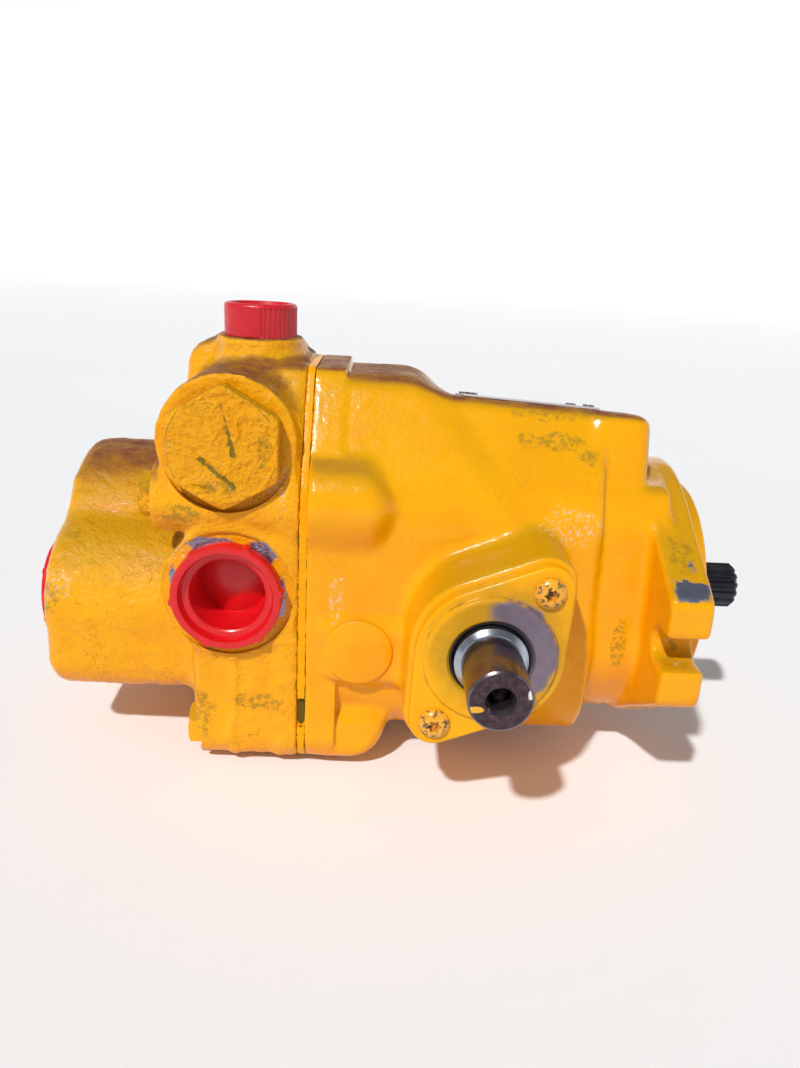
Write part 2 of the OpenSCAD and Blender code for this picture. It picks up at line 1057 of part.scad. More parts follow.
module relief_plug() {
    color(paint)
        difference() {
            union() {
                intersection() {
                    translate([0, -valve_face_y, 0])
                        rotate([90, 30, 0])
                            cylinder(h = 10, r = plug_af / sqrt(3), $fn = 6);
                    union() {
                        rod_y(2.5 - valve_face_y - 10, -valve_face_y, 27);
                        cone_y(-valve_face_y - 10, 2.5 - valve_face_y - 10, plug_af / 2, 27);
                    }
                }
                rod_y(-valve_face_y, -35, valve_bore_r - 0.03);
            }
            rod_y(-48, -34, 6.6);
        }
}

module relief_plugs() {
    translate([near_valve[0], 0, near_valve[1]])
        relief_plug();
    translate([far_valve[0], 0, far_valve[1]])
        mirror([0, 1, 0])
            relief_plug();
}

module relief_poppet() {
    color(steel)
        difference() {
            union() {
                rod_y(-30, -16, chamber_r - 0.06);
                cone_y(-16, -chamber_y, chamber_r - 0.06, 4);
                rod_y(-35.5, -30, 4);
            }
            rod_y(-36, -22, 1.6);
        }
}

module relief_spring() {
    color(steel)
        coil_y(-46.9, -31.1, 5.3, 1, 5);
}

module relief_poppet_near() {
    translate([near_valve[0], 0, near_valve[1]])
        relief_poppet();
}

module relief_spring_near() {
    translate([near_valve[0], 0, near_valve[1]])
        relief_spring();
}

module relief_poppet_far() {
    translate([far_valve[0], 0, far_valve[1]])
        mirror([0, 1, 0])
            relief_poppet();
}

module relief_spring_far() {
    translate([far_valve[0], 0, far_valve[1]])
        mirror([0, 1, 0])
            relief_spring();
}

// ---- Plugs, caps and plate -----------------------------------------------------

// Hollow plastic plug: a threaded cup with six narrow tabs around its rim
module port_plug() {
    color(red_plastic)
        difference() {
            union() {
                rod_y(-7, 0, 23.6);
                rod_y(-1, 17, port_r - 0.05);
                for (i = [0:5])
                    rotate([0, i * 60 - 7.5, 0])
                        translate([22.6, -6.9, -1.3])
                            cube([2, 6.7, 2.6]);
            }
            rod_y(-8, 15, 17.5);
        }
}

module port_plugs() {
    both_sides()
        translate([port_x, -cover_w, port_z])
            port_plug();
    translate([end_x + suction_spot, suction[0], suction[1]])
        rotate([0, 0, -90])
            port_plug();
}

module top_cap() {
    color(red_plastic)
        translate([top_port_x, 0, top_boss_z]) {
            rod_z(0, 12.5, 16.1);
            translate([0, 0, 12.5])
                cylinder(h = 1.5, r1 = 16.1, r2 = 14.8);
            rod_z(-12, 0.1, 12.4);
        }
}

module core_plug() {
    color(paint)
        translate([-142, 0, -16]) {
            rod_y(-59.4, -58, 15);
            rod_y(-58.1, -50, 9.98);
        }
}

module data_plate() {
    color(steel)
        deck_frame()
            difference() {
                translate([6, 2, 0.1])
                    cube([60, 46, 1]);
                for (x = plate_hole_x, y = plate_hole_y)
                    translate([x, y, -1])
                        cylinder(h = 4, r = 1.6);
            }
}

module drive_screws() {
    color(steel)
        deck_frame()
            for (x = plate_hole_x, y = plate_hole_y)
                translate([x, y, 0]) {
                    rod_z(-6, 1.2, 1.5);
                    rod_z(1.12, 2, 2.6);
                }
}

housing();
end_cover();
cover_gasket();
cover_bolts();
trunnion_cover();
blind_trunnion_cover();
trunnion_screws();
trunnion_orings();
trunnion_seal();
trunnion_bearings();
shaft_seal();
seal_ring();
front_bearing_outer();
rear_bearing_outer();
valve_plate();
charge_plate();
relief_plugs();
port_plugs();
top_cap();
core_plug();
data_plate();
drive_screws();
input_shaft();
front_bearing_inner();
rear_bearing_inner();
cylinder_block();
block_spring();
spring_washers();
hold_down_pins();
ball_guide();
gerotor_inner();
front_bearing_balls();
rear_bearing_rollers();
gerotor_outer();
slipper_retainer();
swashplate();
control_shaft();
trunnion_stub();
relief_poppet_near();
relief_spring_near();
relief_poppet_far();
relief_spring_far();
slipper(1);  // slipper_1
slipper(2);  // slipper_2
slipper(3);  // slipper_3
slipper(4);  // slipper_4
slipper(5);  // slipper_5
slipper(6);  // slipper_6
slipper(7);  // slipper_7
slipper(8);  // slipper_8
slipper(9);  // slipper_9
piston(1);  // piston_1
piston(2);  // piston_2
piston(3);  // piston_3
piston(4);  // piston_4
piston(5);  // piston_5
piston(6);  // piston_6
piston(7);  // piston_7
piston(8);  // piston_8
piston(9);  // piston_9
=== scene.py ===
"""Looks for the axial piston pump: smooth castings, enamel, bare steel, plastic caps."""
from math import cos, degrees, hypot, pi, radians, sin, sqrt

import bmesh
import bpy
import numpy as np
from mathutils import Matrix, Vector


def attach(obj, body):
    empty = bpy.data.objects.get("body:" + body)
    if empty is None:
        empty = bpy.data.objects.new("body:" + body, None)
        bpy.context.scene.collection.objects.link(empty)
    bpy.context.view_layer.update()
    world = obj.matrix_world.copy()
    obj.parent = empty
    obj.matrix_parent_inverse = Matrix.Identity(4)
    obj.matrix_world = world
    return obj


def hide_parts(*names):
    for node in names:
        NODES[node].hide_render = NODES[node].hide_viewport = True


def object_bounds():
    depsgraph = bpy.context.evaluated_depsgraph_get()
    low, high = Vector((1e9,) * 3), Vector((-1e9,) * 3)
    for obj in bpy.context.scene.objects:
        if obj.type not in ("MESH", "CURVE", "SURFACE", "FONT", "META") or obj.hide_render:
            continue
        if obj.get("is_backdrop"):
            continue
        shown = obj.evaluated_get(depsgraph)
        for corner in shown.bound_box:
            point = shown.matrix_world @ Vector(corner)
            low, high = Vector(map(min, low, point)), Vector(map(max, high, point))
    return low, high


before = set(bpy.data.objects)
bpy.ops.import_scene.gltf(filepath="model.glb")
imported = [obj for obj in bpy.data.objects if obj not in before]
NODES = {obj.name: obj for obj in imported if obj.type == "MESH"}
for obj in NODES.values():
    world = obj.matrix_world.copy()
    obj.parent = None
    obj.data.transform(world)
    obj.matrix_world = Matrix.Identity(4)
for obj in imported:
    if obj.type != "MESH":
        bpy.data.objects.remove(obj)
CAD_LOW, CAD_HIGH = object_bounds()
MM = 0.001

# ---- Places shared with the CAD, in millimetres ----
TILT_X = -89.4
REAR_X = -165.0
COVER_X = -168.5
NECK_X = -39.0
DECK_X = -107.0
END_X = -285.0
BLOCK_X = -215.5
PORT = (-198.9, 6.5)
NEAR_VALVE = (-198.9, 71.6)
FAR_VALVE = (-201.0, 79.0)
TOP_PORT_X = -192.0
SUCTION = (-4.0, -13.0)
CASE_HALF = [(25, 100), (40, 76), (53.5, 50), (53.5, -30), (46.5, -52), (34.5, -63)]
LOWEST_Z = -75.9
SIDE_Y = 52.0
BOLT_BOSS = (40, 46)
TRUNNION_END = (20.4, 29)
FLANGE_R = 61.7
FLANGE_LEAN = radians(29.6)
EAR_CORNER = (82.7, 23)
SLOT_Y = 73.0
SLOT_R = 7.15
PLUG_FACE = 61.2
GEROTOR_SHIFT = 1.4142
BAND_HALF = [(25, 101), (41.5, 76), (55, 50), (55, -67), (48, -76)]
NECK_HALF = [(30, 61), (40, 61), (49, 44), (52, 20), (52, -24), (36, -50), (20, -58)]


# ---- Distance fields: each takes points in millimetres, negative inside ----
def smin(a, b, k):
    """Union with a fillet of about k."""
    h = np.maximum(k - np.abs(a - b), 0) / k
    return np.minimum(a, b) - h * h * k * 0.25


def smax(a, b, k):
    """Intersection with an edge rounded by about k."""
    return -smin(-a, -b, k)


def mirrored(half):
    return half + [(-u, v) for u, v in reversed(half)]


def convex(u, v, points, k):
    """Convex outline as a rounded intersection of its sides."""
    area = sum(a[0] * b[1] - b[0] * a[1] for a, b in zip(points, points[1:] + points[:1]))
    turn = 1 if area > 0 else -1
    d = None
    for (u0, v0), (u1, v1) in zip(points, points[1:] + points[:1]):
        nu, nv = turn * (v1 - v0), -turn * (u1 - u0)
        size = hypot(nu, nv)
        side = ((u - u0) * nu + (v - v0) * nv) / size
        d = side if d is None else smax(d, side, k)
    return d


def slab(d, t, low, high, k):
    return smax(smax(d, low - t, k), t - high, k)


def disc(u, v, centre, r):
    return np.hypot(u - centre[0], v - centre[1]) - r


def box(p, low, high, k):
    d = None
    for i in range(3):
        for side in (low[i] - p[:, i], p[:, i] - high[i]):
            d = side if d is None else smax(d, side, k)
    return d


def capsule(u, v, end, r0, r1):
    """Hull of a circle of r0 at the origin and one of r1 at end."""
    h = hypot(*end)
    along = (u * end[0] + v * end[1]) / h
    across = np.abs(u * end[1] - v * end[0]) / h
    b = (r0 - r1) / h
    a = sqrt(1 - b * b)
    k = -b * across + a * along
    flank = across * a + along * b - r0
    return np.where(k < 0, np.hypot(across, along) - r0,
                    np.where(k > a * h, np.hypot(across, along - h) - r1, flank))


def trunnion_oval(x, z, r0, r1):
    """Outline of a trunnion boss or cover, with a screw lobe at each end."""
    u, end = x - TILT_X, TRUNNION_END
    return np.minimum(capsule(u, z, end, r0, r1), capsule(u, z, (-end[0], -end[1]), r0, r1))


CORNERS = [(i, j, k) for i in (0, 1) for j in (0, 1) for k in (0, 1)]


def hashed(i, j, k, seed):
    n = (i * 374761393 + j * 668265263 + k * 2147483647 + seed * 974634777) & 0xFFFFFFFF
    n = ((n ^ (n >> 13)) * 1274126177) & 0xFFFFFFFF
    return ((n ^ (n >> 16)) & 0xFFFF) / 32767.5 - 1


def lumps(p, size, seed=0):
    """Smooth value noise from -1 to 1 with bumps of about size."""
    q = p / size
    base = np.floor(q).astype(np.int64)
    f = q - base
    f = f * f * (3 - 2 * f)
    total = 0
    for corner in CORNERS:
        w = [f[:, i] if c else 1 - f[:, i] for i, c in enumerate(corner)]
        total = total + w[0] * w[1] * w[2] * hashed(*(base + corner).T, seed)
    return total


def fade(d, start, end):
    """1 at start or before, 0 at end or beyond."""
    t = np.clip((end - d) / (end - start), 0, 1)
    return t * t * (3 - 2 * t)


# ---- Castings ----
def housing_field(p):
    x, y, z = p[:, 0], p[:, 1], p[:, 2]
    ay = np.abs(y)
    case = slab(convex(y, z, mirrored(CASE_HALF), 8), x, REAR_X, NECK_X - 1, 4)
    deck = (x - DECK_X) * 0.0558 + (y + 25) * 0.1476 + (z - 92) * 0.9875
    low_part = smax(case, deck, 6)
    slope = (x + 118) * 0.80 + (z - 99) * 0.60
    raised = smax(smax(case, z - 100, 5), slope, 9)
    body = smin(low_part, raised, 7)
    neck = slab(convex(y, z, mirrored(NECK_HALF), 6), x, -46, -10, 3)
    block = slab(convex(y, z, mirrored([(32, 92), (42, 60), (42, 40)]), 6), x, -46, -19.8, 7)
    block = smax(block, deck, 6)
    body = smin(body, smin(neck, block, 3), 2.5)
    # Bolt bosses run out along the case
    boss = smax(disc(ay, z, BOLT_BOSS, 20.5), REAR_X - x, 2)
    boss = smax(boss, x + 128 + 0.55 * np.hypot(ay - 52, z - 46), 6)
    body = smin(body, boss, 5)
    # Foot around the lower bolts' threads
    foot = box(np.stack([x, ay, z], 1), (REAR_X, 26, -75.6), (-128, 52.5, -50), 8)
    foot = smax(foot, (x + 128) * 0.75 - (z + 66) * 0.66, 8)
    body = smin(body, foot, 5)
    # Core plug pad
    pad = box(p, (-158.5, -58, -33.5), (-108, -38, -2), 7)
    body = smin(body, pad, 4)
    # Trunnion bosses
    body = smin(body, smax(trunnion_oval(x, z, 31.8, 12.4), ay - 86, 2.5), 6)
    # Joint band
    band = slab(convex(y, z, mirrored(BAND_HALF), 3), x, REAR_X, -151.5, 0.9)
    body = smin(body, band, 0.7)
    # Mounting flange with its two ears and open slots
    top = FLANGE_R * cos(FLANGE_LEAN)
    flank = [(0, top), (FLANGE_R * sin(FLANGE_LEAN), top), EAR_CORNER]
    ears = convex(ay, z, flank + [(u, -v) for u, v in reversed(flank)], 3)
    plate = smin(disc(y, z, (0, 0), 62), ears, 1.5)
    slot = np.minimum(disc(ay, z, (SLOT_Y, 0), SLOT_R), np.maximum(np.abs(z) - SLOT_R, SLOT_Y - ay))
    plate = slab(smax(plate, -slot, 2.2), x, -18, 0, 2.4)
    body = smin(body, plate, 4.5)
    # Cast texture: nearly smooth sides under thick enamel
    body = body + 0.12 * lumps(p, 11, 3) + 0.06 * lumps(p, 4, 4)
    return smax(smax(body, REAR_X - x, 0.35), LOWEST_Z - z, 0.35)


def end_cover_field(p):
    x, y, z = p[:, 0], p[:, 1], p[:, 2]
    ay = np.abs(y)
    outline = convex(y, z, mirrored(BAND_HALF), 4)
    block = slab(smax(smax(outline, ay - SIDE_Y, 5), z - 52, 4), x, BLOCK_X, COVER_X, 5)
    upper = slab(smax(outline, 40 - z, 3), x, -196, COVER_X, 6)
    upper = smax(upper, ay - 44, 4)
    body = smin(block, upper, 6)
    rim = slab(convex(y, z, mirrored(BAND_HALF), 3), x, COVER_X - 10, COVER_X, 3)
    body = smin(body, smax(rim, ay - 54.2, 3), 3)
    pillar = slab(disc(ay, z, BOLT_BOSS, 15.5), x, -230.5, COVER_X, 1.6)
    body = smin(body, pillar, 4)
    # End block: near lobe, far lobe and the foot
    near = disc(y, z, (-5, -14), 38)
    far = smax(smax(disc(y, z, (42, -6), 58.5), -14 - y, 3), z - 54, 10)
    foot = smax(smax(-43 - y, y - SIDE_Y, 6), smax(-50 - z, z + 14, 6), 16)
    lobes = smin(smin(near, smax(far, y - SIDE_Y, 10), 4), foot, 3)
    body = smin(body, slab(lobes, x, END_X + 0.2, -205, 9), 7)
    # Side port bosses
    boss = smax(disc(x, z, PORT, 29), ay - SIDE_Y, 1.6)
    body = smin(body, boss, 5)
    # Valve bosses
    near_boss = smax(smax(disc(x, z, NEAR_VALVE, 29.1), -51.4 - y, 2.0), y - 12, 4)
    body = smin(body, near_boss, 5)
    far_boss = convex(x, z, [(-227, 50), (-172, 50), (-172, 108), (-227, 108)], 16)
    body = smin(body, slab(far_boss, y, 4, 51.4, 6), 8)
    top = slab(disc(x, y, (TOP_PORT_X, 0), 19), z, 60, 110.9, 2.4)
    body = smin(body, top, 7)
    # Rough sand-cast skin, with a ragged parting ridge under the side port
    wander = lumps(np.stack([z * 0 + 3, z, z * 0], 1), 9, 7) * 1.3
    ridge = np.abs(x + 197.2 - 0.055 * (z + 45) - wander)
    ridge = fade(ridge, 0.4, 3.2) * fade(z, -26, -20) * fade(y, -46, -42)
    rough = 0.27 * lumps(p, 7.5, 1) + 0.20 * lumps(p, 3.0, 2)
    body = body + rough - 0.9 * ridge
    body = smax(body, LOWEST_Z - z, 0.35)
    return smax(smax(body, x - COVER_X, 0.35), END_X - x, 0.8)


PAIRS = ((0, 0), (0, 1), (1, 0), (1, 1))


def corner_window(u, v, du, dv):
    """The part of a grid that is moved by du and dv cells along axes u and v."""
    window = [slice(None)] * 3
    window[u] = slice(1, None) if du else slice(0, -1)
    window[v] = slice(1, None) if dv else slice(0, -1)
    return tuple(window)


def settle(values):
    """Fills corners that touch only diagonally, which would pinch the surface."""
    for _ in range(12):
        inside = values < 0
        fill = np.zeros_like(inside)
        for u, v in ((0, 1), (0, 2), (1, 2)):
            windows = [corner_window(u, v, du, dv) for du, dv in PAIRS]
            a, b, c, d = (inside[window] for window in windows)
            pinched = (a == d) & (b == c) & (a != b)
            for window in windows:
                fill[window] |= pinched
        fill &= ~inside
        if not fill.any():
            return
        values[fill] = -0.001


PROBE = 0.08


def mesh_field(field, low, high, cell):
    """Vertices and quads of a field's surface, pulled on to it exactly."""
    low = np.array(low, float)
    shape = np.ceil((np.array(high, float) - low) / cell).astype(int) + 1
    axes = [low[i] + cell * np.arange(shape[i]) for i in range(3)]
    values = np.empty(shape, np.float32)
    gy, gz = np.meshgrid(axes[1], axes[2], indexing="ij")
    for start in range(0, shape[0], 12):
        xs = axes[0][start:start + 12]
        n = len(xs)
        pts = np.stack([np.repeat(xs, gy.size), np.tile(gy.ravel(), n), np.tile(gz.ravel(), n)], 1)
        values[start:start + 12] = field(pts).reshape(n, shape[1], shape[2])
    settle(values)
    inside = values < 0
    count = np.zeros(shape - 1, np.int8)
    for i, j, k in CORNERS:
        count += inside[i:shape[0] - 1 + i, j:shape[1] - 1 + j, k:shape[2] - 1 + k]
    active = (count > 0) & (count < 8)
    index = np.full(active.shape, -1)
    cells = np.argwhere(active)
    index[active] = np.arange(len(cells))
    total = np.zeros((len(cells), 3))
    hits = np.zeros(len(cells))
    for axis in range(3):
        step = np.eye(3, dtype=int)[axis]
        for c in CORNERS:
            if c[axis]:
                continue
            a = cells + np.array(c)
            b = a + step
            va, vb = values[tuple(a.T)], values[tuple(b.T)]
            cross = (va < 0) != (vb < 0)
            t = va[cross] / (va[cross] - vb[cross])
            total[cross] += np.array(c) + t[:, None] * step
            hits[cross] += 1
    verts = low + cell * (cells + total / hits[:, None])
    quads = []
    for axis in range(3):
        u, v = (axis + 1) % 3, (axis + 2) % 3
        first, second = (inside[corner_window(axis, axis, i, i)] for i in (0, 1))
        e = np.argwhere(first != second)
        keep = (e[:, u] > 0) & (e[:, v] > 0)
        keep &= (e[:, u] < shape[u] - 1) & (e[:, v] < shape[v] - 1)
        e = e[keep]
        eu, ev = np.eye(3, dtype=int)[u], np.eye(3, dtype=int)[v]
        q = np.stack([index[tuple((e - s).T)] for s in (0 * eu, eu, eu + ev, ev)], 1)
        outward = first[tuple(e.T)]
        q[~outward] = q[~outward][:, ::-1]
        quads.append(q)
    quads = np.concatenate(quads)
    for _ in range(3):
        d = field(verts)
        grad = np.stack([field(verts + PROBE * np.eye(3)[i]) - d for i in range(3)], 1) / PROBE
        step = d[:, None] * grad / np.maximum((grad * grad).sum(1), 0.2)[:, None]
        size = np.linalg.norm(step, axis=1)
        step *= np.minimum(1, cell / np.maximum(size, 1e-9))[:, None]
        verts -= step
    return verts, quads


# ---- Mesh helpers ----
def linked(name, data):
    obj = bpy.data.objects.new(name, data)
    bpy.context.scene.collection.objects.link(obj)
    return obj


def new_object(name, verts, faces, smooth=False):
    """A mesh object from vertices in millimetres."""
    mesh = bpy.data.meshes.new(name)
    mesh.from_pydata(np.asarray(verts, float) * MM, [], [list(map(int, f)) for f in faces])
    mesh.update()
    if smooth:
        mesh.shade_smooth()
    return linked(name, mesh)


def axis_frame(origin, axis):
    """Matrix whose Z axis is the given direction ('x', '-x', 'y', '-y', 'z') at origin, in mm."""
    turn = {
        "x": Matrix(((0, 0, 1), (0, 1, 0), (-1, 0, 0))),
        "-x": Matrix(((0, 0, -1), (0, 1, 0), (1, 0, 0))),
        "y": Matrix(((1, 0, 0), (0, 0, 1), (0, -1, 0))),
        "-y": Matrix(((1, 0, 0), (0, 0, -1), (0, 1, 0))),
        "z": Matrix.Identity(3),
    }[axis]
    return Matrix.Translation(Vector(origin)) @ turn.to_4x4()


def placed(verts, origin, axis):
    m = np.array(axis_frame(origin, axis))
    v = np.asarray(verts, float)
    return v @ m[:3, :3].T + m[:3, 3]


def rows(profile, sides, warp=None):
    """Vertices of one circle for each (height, radius) point."""
    verts = []
    for h, r in profile:
        for s in range(sides):
            a = 2 * pi * s / sides
            rr = r if warp is None else warp(h, r, a)
            verts.append((rr * cos(a), rr * sin(a), h))
    return verts


def wall(i, j, sides):
    """Faces between the circles whose first vertices are i and j."""
    return [(i + s, i + (s + 1) % sides, j + (s + 1) % sides, j + s) for s in range(sides)]


def lathe(profile, sides=96, warp=None):
    """Closed solid from (height, radius) points; the first and last points sit on the axis."""
    circles = [p for p in profile if p[1] > 1e-6]
    verts = rows(circles, sides, warp)
    faces = []
    for i in range(len(circles) - 1):
        faces += wall(i * sides, (i + 1) * sides, sides)
    low, high = len(verts), len(verts) + 1
    verts += [(0, 0, profile[0][0]), (0, 0, profile[-1][0])]
    last = (len(circles) - 1) * sides
    for s in range(sides):
        n = (s + 1) % sides
        faces += [(low, n, s), (high, last + s, last + n)]
    return verts, faces


def ring(profile, sides):
    """Closed ring from a loop of (height, radius) points that never meets the axis."""
    faces = []
    for i in range(len(profile)):
        faces += wall(i * sides, (i + 1) % len(profile) * sides, sides)
    return rows(profile, sides), faces


def face_out(obj):
    """Turns all faces outwards."""
    bm = bmesh.new()
    bm.from_mesh(obj.data)
    bmesh.ops.recalc_face_normals(bm, faces=bm.faces)
    bm.to_mesh(obj.data)
    bm.free()
    return obj


def boolean(obj, tools, operation="DIFFERENCE"):
    """Cuts or joins obj with each tool and keeps the result as obj's mesh."""
    for tool in tools:
        m = obj.modifiers.new("cut", "BOOLEAN")
        m.operation = operation
        m.solver = "MANIFOLD"
        m.object = tool
    bpy.context.view_layer.update()
    dg = bpy.context.evaluated_depsgraph_get()
    spent = [obj.data] + [tool.data for tool in tools]
    obj.data = bpy.data.meshes.new_from_object(obj.evaluated_get(dg))
    obj.modifiers.clear()
    for tool in tools:
        bpy.data.objects.remove(tool)
    for mesh in spent:
        bpy.data.meshes.remove(mesh)
    return obj


def cutting_solid(verts, faces, slot):
    """A solid whose faces leave the given material slot on what it cuts."""
    obj = face_out(new_object("cutter", verts, faces))
    for poly in obj.data.polygons:
        poly.material_index = slot
    return obj


def cutter(profile, origin, axis, sides=96, slot=1):
    verts, faces = lathe(profile, sides)
    return cutting_solid(placed(verts, origin, axis), faces, slot)


def block_cutter(low, high, slot=2):
    x, y, z = zip(low, high)
    corners = [(i, j, k) for i in x for j in y for k in z]
    faces = [(0, 1, 3, 2), (4, 6, 7, 5), (0, 4, 5, 1), (2, 3, 7, 6), (0, 2, 6, 4), (1, 5, 7, 3)]
    return cutting_solid(corners, faces, slot)


def prism_x(points, low, high, slot=2):
    """Cutter pushed along X from an outline in the Y-Z plane."""
    n = len(points)
    verts = [(low, y, z) for y, z in points] + [(high, y, z) for y, z in points]
    faces = [tuple(range(n)), tuple(range(2 * n - 1, n - 1, -1))]
    faces += [(i, i + n, (i + 1) % n + n, (i + 1) % n) for i in range(n)]
    return cutting_solid(verts, faces, slot)


def hexagon_points(centre, r, first):
    """Corners of a hexagon of corner radius r, the first at the given angle."""
    angles = [radians(first + 60 * i) for i in range(6)]
    return [(centre[0] + r * cos(a), centre[1] + r * sin(a)) for a in angles]


def rod(low, high, r):
    return [(low, 0), (low, r), (high, r), (high, 0)]


# ---- Materials ----
class Finish:
    """A Principled material, with short calls for its procedural nodes. Lengths are in mm."""

    def __init__(self, name, color, roughness, metallic=0.0, coat=0.0, coat_rough=0.08, specular=0.5):
        self.material = bpy.data.materials.new(name)
        self.material.use_nodes = True
        self.tree = self.material.node_tree
        self.nodes = self.tree.nodes
        self.shader = self.nodes["Principled BSDF"]
        settings = {"Base Color": (*color, 1), "Roughness": roughness, "Metallic": metallic,
                    "Coat Weight": coat, "Coat Roughness": coat_rough, "Specular IOR Level": specular}
        for socket, value in settings.items():
            self.shader.inputs[socket].default_value = value
        self.place = self.scaled(self.node("TexCoord").outputs["Object"], 1 / MM)

    def node(self, kind, **settings):
        node = self.nodes.new("ShaderNode" + kind)
        for name, value in settings.items():
            setattr(node, name, value)
        return node

    def scaled(self, value, factor):
        node = self.node("VectorMath", operation="SCALE")
        self.feed(value, node.inputs[0])
        self.feed(factor, node.inputs["Scale"])
        return node.outputs[0]

    def feed(self, value, socket):
        if hasattr(value, "links") or hasattr(value, "is_output"):
            self.tree.links.new(value, socket)
        elif isinstance(value, (tuple, list)) and len(value) == 3 and socket.type == "RGBA":
            socket.default_value = (*value, 1)
        else:
            socket.default_value = value

    def math(self, op, a, b=0.0, c=0.0, clamp=False):
        node = self.node("Math", operation=op, use_clamp=clamp)
        for value, socket in zip((a, b, c), node.inputs):
            self.feed(value, socket)
        return node.outputs[0]

    def vector(self, op, a, b=(0, 0, 0)):
        node = self.node("VectorMath", operation=op)
        self.feed(a, node.inputs[0])
        self.feed(b, node.inputs[1])
        return node.outputs["Value" if op in ("LENGTH", "DOT_PRODUCT") else 0]

    def times(self, a, b):
        return self.math("MULTIPLY", a, b)

    def from_point(self, centre):
        return self.vector("SUBTRACT", self.place, centre)

    def from_y_line(self, centre):
        """Distance from the line along Y through a point."""
        return self.vector("LENGTH", self.vector("MULTIPLY", self.from_point(centre), (1, 0, 1)))

    def noise(self, size, detail=2.0, rough=0.5, stretch=(1, 1, 1), shift=(0, 0, 0)):
        node = self.node("TexNoise")
        for name, value in (("Scale", 1.0 / size), ("Detail", detail), ("Roughness", rough)):
            node.inputs[name].default_value = value
        place = self.place
        if shift != (0, 0, 0):
            place = self.vector("ADD", place, shift)
        if stretch != (1, 1, 1):
            place = self.vector("MULTIPLY", place, stretch)
        self.tree.links.new(place, node.inputs["Vector"])
        return node.outputs["Fac"]

    def step(self, value, start, end, low=0.0, high=1.0):
        node = self.node("MapRange", interpolation_type="SMOOTHSTEP")
        names = ("Value", "From Min", "From Max", "To Min", "To Max")
        for name, v in zip(names, (value, start, end, low, high)):
            self.feed(v, node.inputs[name])
        return node.outputs[0]

    def spot(self, centre, radii, wobble=0.5, size=5.0):
        """1 inside a ragged ellipsoid."""
        away = self.vector("LENGTH", self.vector("DIVIDE", self.from_point(centre), radii))
        edge = self.math("SUBTRACT", self.noise(size, 5, 0.65), 0.5)
        away = self.math("MULTIPLY_ADD", edge, wobble * 2, away)
        return self.step(away, 0.88, 1.12, 1, 0)

    def stroke(self, a, b, width, wobble=0.3, size=3.0):
        """1 along a tapering stroke from a to b."""
        a, b = Vector(a), Vector(b)
        along = b - a
        away = self.from_point(tuple(a))
        t = self.vector("DOT_PRODUCT", away, tuple(along))
        t = self.math("DIVIDE", t, along.length_squared, clamp=True)
        away = self.vector("LENGTH", self.vector("SUBTRACT", away, self.scaled(along, t)))
        edge = self.math("SUBTRACT", self.noise(size, 4, 0.6), 0.5)
        away = self.math("MULTIPLY_ADD", edge, wobble * 2 * width, away)
        return self.step(away, width * 0.75, width * 1.15, 1, 0)

    def facing(self, direction, start, end):
        """0 to 1 as the surface turns towards a direction in the part's own frame."""
        normal = self.node("NewGeometry").outputs["Normal"]
        turned_by = self.vector("DOT_PRODUCT", normal, direction)
        return self.step(turned_by, start, end)

    def mix(self, factor, a, b):
        node = self.node("Mix", data_type="RGBA")
        self.feed(factor, node.inputs["Factor"])
        self.feed(a, node.inputs[6])
        self.feed(b, node.inputs[7])
        return node.outputs[2]

    def blend(self, factor, a, b):
        node = self.node("Mix")
        self.feed(factor, node.inputs["Factor"])
        self.feed(a, node.inputs[2])
        self.feed(b, node.inputs[3])
        return node.outputs[0]

    def finish(self, color=None, roughness=None, metallic=None, height=None, depth=0.1, coat=None):
        names = ("Base Color", "Roughness", "Metallic", "Coat Weight")
        for value, name in zip((color, roughness, metallic, coat), names):
            if value is not None:
                self.feed(value, self.shader.inputs[name])
        if height is not None:
            bump = self.node("Bump")
            bump.inputs["Strength"].default_value = 1.0
            bump.inputs["Distance"].default_value = depth * MM
            self.feed(height, bump.inputs["Height"])
            self.tree.links.new(bump.outputs[0], self.shader.inputs["Normal"])
            self.tree.links.new(bump.outputs[0], self.shader.inputs["Coat Normal"])
        return self.material


YELLOW = (0.87, 0.375, 0.001)
GOLD = (0.92, 0.43, 0.002)
# Amber is a random tone of the enamel and also the painted shade on faces turned down.
AMBER_TONE_AND_UNDERSIDE_SHADE = (0.84, 0.27, 0.001)
# Mustard is a painted dark reflection on faces turned up.
TOP_REFLECTION_MUSTARD = (0.50, 0.27, 0.004)
# Brown is a painted dark reflection on the highest faces turned up.
TOP_REFLECTION_BROWN = (0.20, 0.062, 0.03)
OLIVE = (0.36, 0.21, 0.008)
# Pale flecks: spatter on the enamel, partly painted glints.
PALE_FLECK_AND_GLINT = (0.80, 0.62, 0.42)
BARE = (0.23, 0.25, 0.36)
COAT = 0.3


